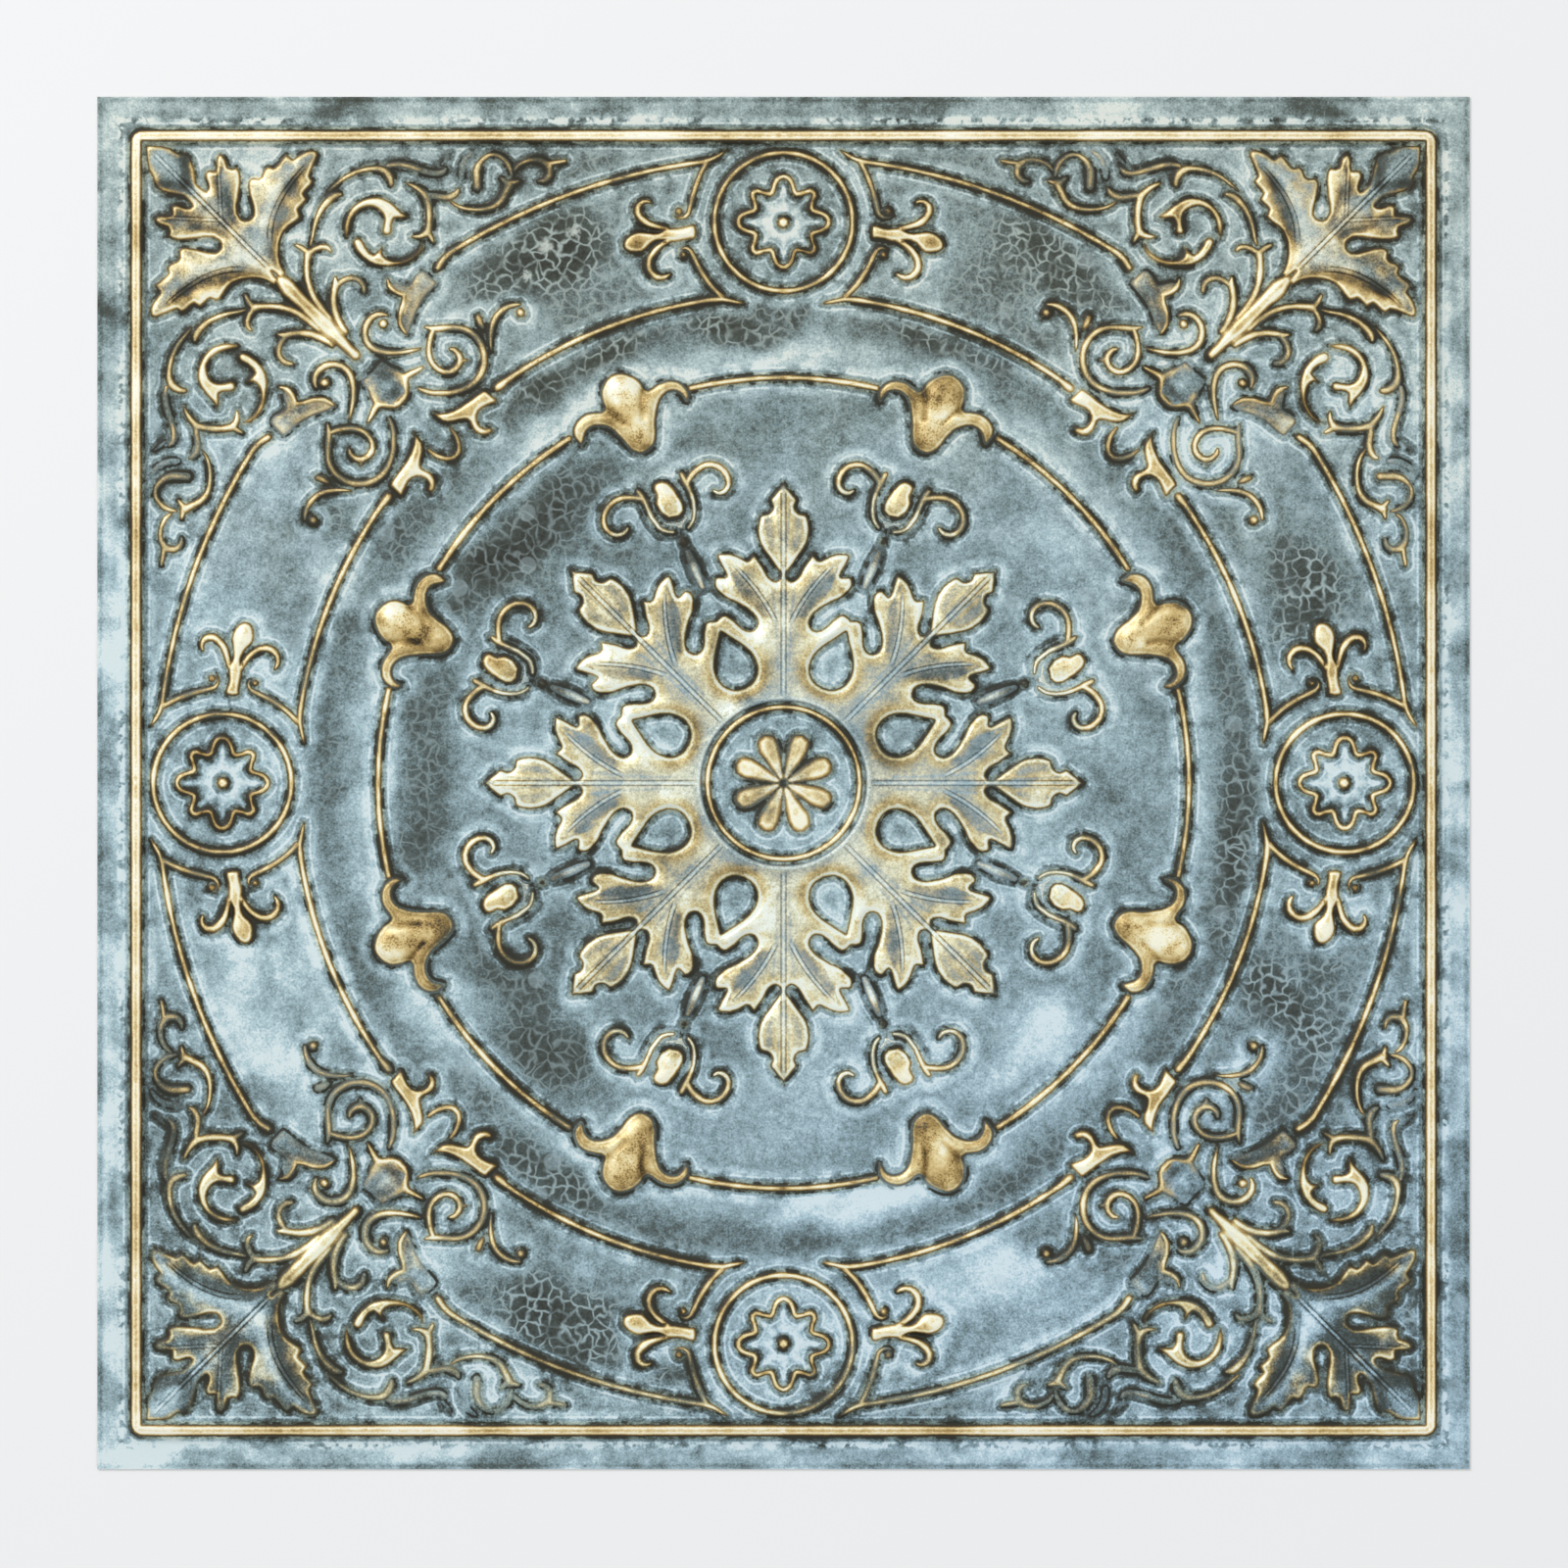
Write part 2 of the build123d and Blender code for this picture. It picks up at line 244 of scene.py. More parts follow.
LEAF_VEINS = [
    ([(300, 0.0, 1.6), (250, 0.0, 2.0), (200, 0.0, 2.4), (150, 0.0, 2.6), (110, 0.0, 2.6), (92, 0.0, 1.8)], 0.55, 0.06),
    ([(222, 51, 0.8), (214, 43.4, 1.3), (205, 34.6, 1.6), (190, 23.6, 1.6), (173, 13.4, 1.3), (166, 9.6, 0.8)], 0.40, 0.06),
    ([(285, 6.5, 0.7), (262, 4.6, 1.0), (235, 3.6, 1.0)], 0.16, 0.12),
    ([(210, 49, 3.0), (198, 39, 4.6), (184, 28, 4.6), (172, 20, 3.0)], 0.30, 0.56),
    ([(226, 57, 0.7), (214, 53, 1.0), (202, 48, 1.0), (190, 41, 0.7)], 0.12, 0.14),
    ([(268, 15, 3.4), (254, 15, 4.4), (240, 11, 3.0)], 0.18, 0.16),
    ([(196, 11, 0.8), (170, 8, 1.0), (140, 6.6, 1.0), (112, 6, 0.8)], 0.14, 0.14),
]

# --- square roll moulding --------------------------------------------------------------------
ROLL = 660.0
ROLL_HW = 6.6

# --- corner: bud, forked stem and hooks --------------------------------------------------------
FEATURES += [
    S([(512, 512, 7.2), (505, 505, 10.0), (497, 497, 9.8), (488, 488, 8.6), (478, 478, 9.8), (467, 467, 10.2), (456, 456, 8.4),
       (446, 446, 6.6), (436, 436, 5.8)], h=3.2, gold=1.0),
    S([(463, 474, 4.6), (471, 483.5, 4.9), (479, 495, 4.9), (484, 508, 4.5), (486, 520, 4.2), (486, 532, 4.2), (484.6, 540.5, 4.4)],
      h=2.1, gold=0.80),
    S([(485, 540, 3.6), (490, 545, 3.0), (497.5, 548.8, 1.4)], h=1.7, gold=0.62),
    S([(484, 540, 3.6), (478, 544.4, 3.2), (471, 546.8, 3.2), (465, 546, 2.6), (461.6, 542.6, 1.2)], h=1.7, gold=0.66),
    S([(447, 460, 4.6), (452, 468, 5.2), (457, 479, 5.2), (459, 490, 4.9), (458.6, 500, 4.5), (457, 508, 3.9), (457, 515, 1.8)],
      h=2.1, gold=0.80),
    S([(456, 507, 3.0), (450, 511.8, 3.2), (443, 514.8, 3.2), (436.6, 514.4, 3.2), (431, 511, 3.2), (428, 505.6, 2.8),
       (427.6, 501, 1.8)], h=1.8, gold=0.58),
    S([(403.5, 476.4, 1.6), (410, 478.2, 3.4), (417, 476.4, 4.2), (423, 471, 4.6), (426.6, 463, 4.6), (426, 453, 4.6),
       (422, 446, 4.4), (414.6, 441, 4.2), (405, 438.6, 4.0), (395, 438.2, 3.4), (385, 439.2, 2.8), (376, 441.2, 1.8), (370, 442.6, 1.0)],
      h=1.9, gold=0.74),
    P([(413.4, 467.5), (411.6, 472), (407.6, 473.8), (403.6, 471.6), (402.4, 467.4), (404.2, 463.4), (408.2, 462),
       (412, 463.8)], h=2.4, gold=1.0, soft=4.5),
    # bell on the diagonal
    P([(399, 381), (391, 390), (385.6, 397), (384.6, 404), (385.8, 411), (389, 416), (395, 419.4), (403, 421.4), (411, 421.8),
       (418, 420.4), (424, 416), (430, 408), (415, 390)], h=1.0, gold=0.34, inner=0.6, soft=9.0),
    S([(407, 420.6, 2.2), (400, 419.6, 4.6), (393, 416.8, 5.2), (387, 413.4, 4.4)], h=1.3, gold=0.56),
    S([(367.6, 423.6, 1.2), (373.4, 420.4, 2.6), (379, 417.6, 3.6), (384, 414.4, 4.2), (386.0, 409, 4.4), (385.0, 403, 4.4),
       (385.0, 397.6, 4.4), (387, 392.4, 4.4), (390, 389.6, 4.4)], h=2.1, gold=0.90),
    # small tongue on the diagonal
    S([(340, 362.5, 1.4), (334.4, 355, 2.4), (331, 346, 2.8), (331, 338, 2.8), (334.4, 333.4, 2.8)], h=1.3, gold=0.66),
]
SHADES += [
    ([(392.6, 407, 2.6), (393.4, 401, 3.6), (397, 397, 4.0)], -0.55),
    ([(410, 417, 3.6), (403, 414, 2.6)], -0.35),
    ([(424, 425, 4.0), (413, 428, 3.6), (403, 428, 2.6)], -0.30),
    ([(404, 406, 3.6)], 0.16),
    ([(352, 352, 5.0), (343, 343, 5.0)], -0.10),
]

# --- corner: large C scroll -------------------------------------------------------------------
FEATURES += [
    P([(446, 555.5), (448.6, 566), (446.6, 577), (441, 586.6), (433, 593.2), (424, 597), (413, 597.8), (403.6, 594.6), (396, 589),
       (389.6, 583), (382, 577.4), (389.6, 575), (396.6, 575.2), (399, 569), (399.2, 562.6), (402, 558.8), (407.4, 558.8),
       (409.6, 563), (408.2, 570), (408, 577), (410.6, 582.4), (416.4, 586.4), (424, 587.4), (431.6, 584.4), (437.4, 578.4),
       (440.8, 571), (442.8, 562)], h=2.9, gold=0.96, soft=7.0),
    P([(439.4, 551), (437.6, 555.2), (433, 556.4), (429, 553), (425.6, 546.4), (421.4, 541.2), (418, 539.4), (413.4, 543), (408.4, 547.6),
       (408.8, 541), (405, 535.8), (398, 533.4), (390, 533.4), (382, 536.4), (375, 541), (370, 547.6), (368, 552.6),
       (366.8, 546), (371, 538.6), (378, 532.4), (387, 528.4), (398, 526.2), (409, 525.8), (419, 528), (428, 533.4),
       (435.4, 541.6)], h=2.9, gold=0.96, soft=7.0),
    S([(464, 603.4, 1.0), (457, 609.6, 1.8), (449, 616, 2.3), (440, 621.2, 2.6), (430, 624.8, 3.0), (420, 626.6, 3.6),
       (411, 626.2, 4.4), (404.6, 622.8, 4.8), (401, 616.8, 4.6), (400, 610.5, 3.0)], h=2.0, gold=0.66),
    S([(404, 629.4, 2.0), (397, 630.8, 3.2), (388, 630.4, 3.6), (379, 628, 3.6), (370, 625, 3.4), (361, 622.4, 3.2),
       (352.6, 621.6, 3.0), (346.6, 623.6, 2.4), (344.2, 626.6, 1.2)], h=1.8, gold=0.50),
    S([(482.4, 548.5, 1.2), (480.4, 556, 2.0), (478.6, 566, 2.6), (475.6, 576, 3.0), (470.6, 586, 3.8), (464.6, 593.4, 4.8),
       (458, 598.8, 4.8), (451.6, 600.4, 2.0)], h=2.0, gold=0.70),
    # upright with forked ends
    S([(384, 611.6, 1.0), (377, 608.6, 2.6), (369.6, 603.6, 4.2), (364.4, 597.4, 4.8), (361.8, 588, 4.8), (361, 577, 4.8),
       (361.8, 567, 4.8), (364.6, 560.6, 4.4), (371, 557.4, 3.0), (379, 557.2, 1.0)], h=2.3, gold=0.72),
    S([(363, 563, 3.6), (360, 557, 3.0), (357, 551.6, 1.2)], h=1.9, gold=0.66),
    S([(365, 598.6, 3.8), (358, 599, 3.4), (350.6, 597.6, 3.6), (343.6, 597, 4.2), (337.4, 598.8, 4.2), (332.8, 602.6, 2.8),
       (331, 606, 1.2)], h=1.9, gold=0.58),
    # crescent, nine-shaped scroll and small scroll along the roll
    S([(340, 593.4, 0.9), (333, 588.6, 1.9), (323, 585.4, 2.5), (312, 584.4, 2.8), (302, 585.6, 3.2), (293.4, 588.8, 3.8),
       (287.4, 594.4, 4.4), (283.6, 601.4, 4.6), (280.8, 607.6, 5.2), (279, 611.4, 5.0)], h=2.1, gold=0.72),
    S([(280, 609.6, 3.6), (284, 613.6, 3.0), (288.4, 617, 1.2)], h=1.9, gold=0.60),
    S([(280, 610.6, 3.6), (274.6, 612.6, 3.0), (269.4, 613.6, 1.2)], h=1.9, gold=0.72),
    S([(312.4, 608, 4.6), (312.8, 615, 4.8), (313.2, 623, 4.8), (310.8, 630.4, 4.0), (306, 636.4, 3.0), (299.6, 640.4, 2.4),
       (292.6, 640.4, 2.4), (286, 636.8, 2.8), (281, 631.2, 3.0), (278.2, 624.8, 2.4), (277.2, 619, 1.2)], h=1.9, gold=0.56),
    S([(328.4, 617.8, 2.6), (328, 625, 3.4), (325.8, 632.6, 3.2), (321, 639.6, 2.4), (314, 644.4, 1.2)], h=1.2, gold=0.14),
    S([(275, 624, 1.0), (271.6, 628.6, 2.0), (266.4, 632.2, 2.3), (259.4, 635, 2.5), (251.6, 635.6, 2.8), (244.6, 633.4, 3.6),
       (239.6, 628.6, 4.2), (238, 622.6, 4.0), (240.2, 617.2, 3.4), (245, 614, 2.4), (249.6, 613.4, 1.2)], h=1.9, gold=0.60),
    S([(240, 631.6, 3.2), (233.6, 632.4, 2.8), (227.4, 633.4, 2.6), (222.8, 634.4, 1.8)], h=1.6, gold=0.66),
    S([(348, 631, 1.0), (344.4, 634.8, 1.5), (341.4, 638.8, 1.2), (339.6, 642, 0.8)], h=0.9, gold=0.22),
]
SHADES += [
    ([(352, 637, 4.0), (346, 640, 5.0), (340, 640, 3.0)], -0.45),
    ([(470, 592, 3.0), (464, 601, 4.0), (456, 606, 3.0)], -0.25),
    ([(427, 633, 2.5), (412, 635, 3.0), (396, 637, 3.0), (380, 635, 3.0), (366, 631, 3.0), (354, 629, 3.0)], -0.45),
]

# --- corner: spiral, its end scroll and the clasps that hold the rings -----------------------------
FEATURES += [
    S([(366, 464.8, 1.0), (359, 463.4, 3.0), (352, 463.2, 3.8), (344, 464, 3.6), (334, 464.4, 3.4), (324, 462.4, 3.4), (315, 456.6, 3.6),
       (308.6, 448, 4.0), (305.2, 438, 4.2), (305, 427.6, 4.2), (308, 417.6, 4.0), (313.6, 409.4, 3.8), (322, 403.2, 3.6),
       (333, 399, 3.4), (345, 397.2, 3.2), (357, 397.6, 3.0), (366, 399.6, 2.4), (372, 402, 1.2)], h=1.9, gold=0.60),
    S([(357, 462, 3.0), (359.4, 455, 3.4), (361.2, 446, 3.4), (361.2, 437, 3.4), (358.4, 428.4, 3.4), (352.4, 421.8, 3.6),
       (344, 418.6, 3.8), (336.6, 420.2, 4.0), (331.4, 425.4, 4.0), (329.6, 431.6, 4.0), (331.6, 437.6, 3.6), (335.6, 441.6, 2.8),
       (340, 442.6, 1.4)], h=1.9, gold=0.72),
    S([(330.4, 430, 3.0), (326.4, 430.6, 2.0), (322.6, 431.4, 0.9)], h=1.6, gold=0.6),
    P([(314.8, 474), (313.6, 477.6), (310.6, 478.8), (307.8, 476.6), (305.4, 471), (303.8, 465), (304.6, 460.6), (308.4, 462.4),
       (312.6, 467)], h=1.6, gold=0.62, inner=0.2, soft=5.0),
    S([(297.4, 440, 0.8), (298.6, 448, 1.8), (298.4, 457, 2.6), (297, 466, 3.0), (293.8, 474, 3.2), (288.4, 480.4, 3.3), (281.6, 485, 3.2),
       (275, 487.2, 2.6), (269, 487.8, 1.6)], h=1.9, gold=0.62),
    P([(273, 480.4), (270.6, 484.2), (266.4, 484.6), (263.2, 481.6), (262.8, 477.2), (265.6, 474), (269.8, 474.4), (272.6, 477)],
      h=2.2, gold=0.72, soft=4.5),
    P([(358, 378), (352.6, 377), (345, 378), (335, 381.4), (325, 387.4), (316, 394), (309, 399), (303.6, 401.4), (298, 396.4),
       (291.4, 389.8), (296.6, 386), (303, 383.6), (308.8, 380), (312, 375), (312, 369.4), (309, 364.2), (304.4, 362), (298.6, 362.8),
       (295.6, 359.6), (298.4, 356), (304, 354), (310.6, 354.6), (316.4, 359.4), (319.4, 366), (322.4, 369.4), (330, 368.6),
       (339, 366.4), (347, 367.4), (353.4, 372)], h=2.6, gold=0.94, soft=6.0),
    P([(401.5, 509.5), (399, 503.5), (393.5, 499.8), (386.6, 497.0), (387.4, 489.4), (390.6, 479.8), (391.0, 470), (388.4, 462.8),
       (383.4, 457), (379.8, 462), (377.0, 470), (374, 479), (370, 487), (364.6, 494.6), (359, 501.6), (353, 509.4),
       (357.4, 514.6), (362.4, 519.6), (367, 522.6), (371.4, 522.4), (375.6, 518), (379.4, 512), (382, 508.2), (388, 508.8),
       (394.6, 511)], h=2.0, gold=0.46, inner=0.50, soft=8.0),
    S([(403.4, 514, 1.0), (402.8, 508.6, 2.6), (399.4, 503.4, 3.6), (393.6, 499.8, 3.8), (387.4, 497.6, 3.6)], h=2.3, gold=0.92),
    S([(386.4, 496.6, 3.2), (387.2, 489.4, 3.0), (390.4, 480, 3.0), (391.0, 470.2, 3.0), (388.4, 463, 2.4), (384.2, 457, 1.0)],
      h=2.2, gold=0.86),
]
# painted shade under the fleur's arm and on its body, and a painted highlight on the body
SHADES += [
    ([(385, 466, 1.8), (385.4, 474, 2.4), (382.6, 483, 3.0), (380.4, 491, 3.2)], -0.34),
    ([(378.6, 510.6, 3.2), (380.6, 503.6, 3.0)], -0.40),
    ([(364, 499, 3.0), (369, 492, 3.4)], -0.30),
    ([(367, 515, 3.0), (362, 509, 3.4)], 0.30),
]

# --- corner: acanthus leaf ---------------------------------------------------------------------
ACANTHUS = [
    (650, 650), (641, 650.6), (631, 649.4), (624, 647.4), (619.5, 643.6), (611, 642.4), (604.6, 637), (601, 628.6), (599.4, 618), (597.6, 610.4),
    (592.4, 606), (588.6, 603.4), (587.8, 609.4), (590, 616), (590, 622.4), (585.4, 625), (580.2, 624.6), (579.4, 631), (578.6, 637.6),
    (575.4, 641.6), (571, 640.4), (567.8, 635), (566.2, 628.4), (562.4, 627), (557.8, 628.4), (554.4, 624.6), (553, 617), (553.2, 608),
    (554.6, 598), (556.4, 588.6), (555.6, 580.6), (551.6, 575), (546, 574.6), (541.6, 578.6), (541.6, 587), (544.4, 596), (546.4, 606),
    (546, 613.6), (541.6, 617.4), (535.6, 616.6), (532, 619.4), (530, 625.6), (525, 629.4), (520.4, 627.6), (516.4, 630.6), (512, 636.6),
    (507.4, 641.6), (503.6, 639), (500.4, 636.4), (495, 640.6), (487.4, 644.8), (479.4, 646), (474.4, 642.8), (476, 636), (479.6, 627.4),
    (482.4, 618.4), (478.8, 613.8), (482.6, 607.4), (488.6, 601), (484.8, 595.6), (489.4, 589.6), (494, 585), (491.4, 577.4),
    (496.4, 572), (503, 567.6), (508.6, 561.8), (512, 554), (513.6, 545), (513, 535), (510.4, 526), (507, 519.6), (512, 515), (518, 518), (522, 522),
]
FEATURES.append(dict(P(ACANTHUS, h=2.6, gold=0.90, inner=0.66, soft=9.0), diagonal=True, rim=7.0))
GROOVES += [
    # midrib: two fine lines with a ridge between them, and the valleys between the lobes
    ([(612, 616, 0.9), (590, 594, 1.0), (566, 570, 1.1), (542, 546, 1.1), (524, 527, 0.9)], 0.5, 0.40),
    ([(569, 604, 2.6), (566, 594, 3.4), (564, 583, 3.4), (560.5, 573, 2.6), (556, 566, 1.6)], 1.2, 0.52),
    ([(574, 628, 2.0), (577, 616, 2.8), (577, 604, 2.8), (574, 592, 2.2)], 0.7, 0.40),
    ([(501, 611, 3.0), (507, 598, 5.4), (512, 583, 7.0), (515.4, 568, 7.0), (516.6, 554, 5.8), (515.6, 543, 4.0), (512.4, 532, 2.4)], 1.5, 0.66),
    ([(489, 628, 2.4), (496, 618, 3.6), (503, 606, 3.6)], 0.8, 0.42),
    ([(611, 638, 2.6), (609.6, 629, 4.6), (608.6, 619, 4.4), (607, 611, 2.6)], 1.4, 0.80),
    ([(588, 613, 2.0), (586, 606, 2.0)], 0.5, 0.40),
    ([(544, 596, 1.4), (543, 585, 1.6), (545, 578, 1.4)], 0.4, 0.24),
]
# painted highlights along the lighter sides of the acanthus lobes and along its midrib, and a fine dark line beside one
# lobe's rib
SHADES += [
    ([(536, 545, 2.4), (532, 556, 3.4), (529, 570, 4.6), (525, 586, 4.8), (517.6, 602, 4.8), (507, 617, 4.4), (494, 630, 3.6)], 0.46),
    ([(541, 560, 3.0), (539, 575, 3.6), (536, 592, 3.6), (529, 606, 3.2)], 0.18),
    ([(523.6, 560, 0.8), (520.6, 576, 0.9), (513.6, 594, 0.9), (504, 610, 0.9), (492, 624, 0.8)], -0.34),
    ([(558, 600, 3.0), (560, 614, 3.0), (563, 622, 2.6)], 0.16),
    ([(636, 641, 4.0), (622, 628, 4.0), (600, 606, 3.6), (580, 586, 3.6)], 0.30),
    ([(560, 566, 3.6), (540, 546, 3.6), (527, 532, 3.0)], 0.26),
]
GILDS = [
    ([(520, 612, 5.0), (531, 600, 5.0), (537, 586, 4.0)], 0.25),
    ([(506, 566, 4.0), (502, 578, 6.0), (496, 592, 6.0), (492, 606, 6.0), (492, 620, 5.0)], 0.34),
    ([(567, 634, 4.0), (562, 614, 4.0), (561, 596, 4.0)], 0.24),
    ([(594, 624, 4.0), (600, 634, 4.0)], 0.24),
    ([(583, 618, 4.0), (582, 606, 4.0)], 0.30),
    ([(556, 612, 3.6), (558, 598, 3.6)], 0.25),
    ([(611, 638, 4.0), (609.6, 629, 5.0), (608.6, 619, 5.0)], -0.45),
    ([(636, 641, 5.0), (622, 628, 5.0), (600, 606, 4.0)], -0.35),
]


def segment_windows(p, A, B, reach):
    """Yields, for each stretch of the line, the slice of the grid near it."""
    a0, b0 = A[0, 0], B[0, 0]
    for i in range(len(p) - 1):
        q0, q1 = p[i], p[i + 1]
        r = reach + max(q0[2], q1[2])
        i0 = max(0, int((min(q0[0], q1[0]) - r - a0) / STEP))
        i1 = min(A.shape[0], int((max(q0[0], q1[0]) + r - a0) / STEP) + 2)
        j0 = max(0, int((min(q0[1], q1[1]) - r - b0) / STEP))
        j1 = min(A.shape[1], int((max(q0[1], q1[1]) + r - b0) / STEP) + 2)
        if i1 > i0 and j1 > j0:
            yield q0, q1, slice(i0, i1), slice(j0, j1)


def line_distance(p, A, B, reach=REACH, crest=False):
    """Distance to the edge of a strand with changing half-width; negative inside. crest scales the
    inside so that strands of any width have their crest at the same depth."""
    D = np.full(A.shape, reach, dtype=np.float32)
    if len(p) == 1:
        p = np.vstack([p, p + np.array([[0.01, 0, 0]])])
    for q0, q1, si, sj in segment_windows(p, A, B, reach):
        x, y = A[si, sj], B[si, sj]
        dx, dy = q1[0] - q0[0], q1[1] - q0[1]
        L2 = dx * dx + dy * dy + 1e-9
        t = np.clip(((x - q0[0]) * dx + (y - q0[1]) * dy) / L2, 0, 1)
        w = q0[2] + (q1[2] - q0[2]) * t
        d = np.hypot(x - q0[0] - t * dx, y - q0[1] - t * dy) - w
        if crest:
            d = np.where(d < 0, d * np.clip(4.3 / np.maximum(w, 0.6), 0.7, 2.6), d)
        D[si, sj] = np.minimum(D[si, sj], d)
    return D


def inside(p, A, B):
    """Even-odd test of the grid against a closed outline."""
    res = np.zeros(A.shape, dtype=bool)
    a0, b0 = A[0, 0], B[0, 0]
    i0 = max(0, int((p[:, 0].min() - a0) / STEP) - 1)
    i1 = min(A.shape[0], int((p[:, 0].max() - a0) / STEP) + 3)
    j0 = max(0, int((p[:, 1].min() - b0) / STEP) - 1)
    j1 = min(A.shape[1], int((p[:, 1].max() - b0) / STEP) + 3)
    x, y = A[i0:i1, j0:j1], B[i0:i1, j0:j1]
    r = np.zeros(x.shape, dtype=bool)
    q = np.roll(p, -1, axis=0)
    for (xa, ya), (xb, yb) in zip(p[:, :2], q[:, :2]):
        if ya == yb:
            continue
        hit = (y > min(ya, yb)) & (y <= max(ya, yb))
        r ^= hit & (x < xa + (y - ya) * (xb - xa) / (yb - ya))
    res[i0:i1, j0:j1] = r
    return res


def plate_distance(p, A, B, reach=REACH):
    ring = np.vstack([p, p[:1]])
    ring = np.column_stack([ring[:, :2], np.zeros(len(ring))])
    d = line_distance(ring, A, B, reach)
    return np.where(inside(p, A, B), -d, d)


def copies(pts):
    """The outline and those mirror images of it that reach into the drawn eighth."""
    p = np.array(pts, dtype=float)
    out = [p]
    if p[:, 0].min() < REACH + 10:
        out.append(p * np.array([-1.0, 1.0, 1.0][:p.shape[1]]))
    if (p[:, 1] - p[:, 0]).min() < 1.5 * REACH:
        m = p.copy()
        m[:, [0, 1]] = m[:, [1, 0]]
        out.append(m)
    return out


def ramp(x, lo, hi):
    t = np.clip((x - lo) / (hi - lo), 0, 1)
    return t * t * (3 - 2 * t)


def blur(F, sigma):
    """Separable Gaussian blur in grid cells, with the edges repeated."""
    n = int(3 * sigma + 1)
    k = np.exp(-0.5 * (np.arange(-n, n + 1) / sigma) ** 2)
    k /= k.sum()
    for axis in (0, 1):
        pad = [(0, 0), (0, 0)]
        pad[axis] = (n, n)
        G = np.pad(F, pad, mode="edge")
        out = np.zeros_like(F)
        for i, w in enumerate(k):
            sl = [slice(None), slice(None)]
            sl[axis] = slice(i, i + F.shape[axis])
            out += w * G[tuple(sl)]
        F = out
    return F


def base_height(A, B):
    """Face level in mm without the ornament: field, cove, band, panel and margin."""
    R = np.hypot(A, B) * PX * 1000
    M = np.maximum(A, B)
    z = np.full(A.shape, 1.4)
    # cove and band
    up = ramp(R, 180.0, 209.0)
    z = z + 1.35 * up + 0.65 * ramp(R, 205.0, 232.0) * (1 - ramp(R, 252.0, 276.0))
    band = 1 - ramp(R, 277.6, 281.4)
    z = 1.4 + (z - 1.4) * band
    # roundels lie on a level pad
    m = np.hypot(A, B - 572.0)
    pad = 1 - ramp(m, 73.0, 86.0)
    z = z * (1 - pad) + 2.75 * pad
    # slight crown of the middle field, and the hub's pad
    z = z + 0.45 * (1 - ramp(R, 20.0, 150.0)) + 3.55 * (1 - ramp(R, 84.5 * PX * 1000, 94.0 * PX * 1000))
    # panel edge to margin, inside the roll's width
    z = z * (M < 660) + 0.7 * (M >= 660)
    return z


def edge_profile(D, h, soft, foot=3.4):
    """Height of a rounded form as a function of the distance to its outline."""
    t = np.maximum(0.0, foot - D)
    return h * (1 - np.exp(-(t / soft) ** 1.7))


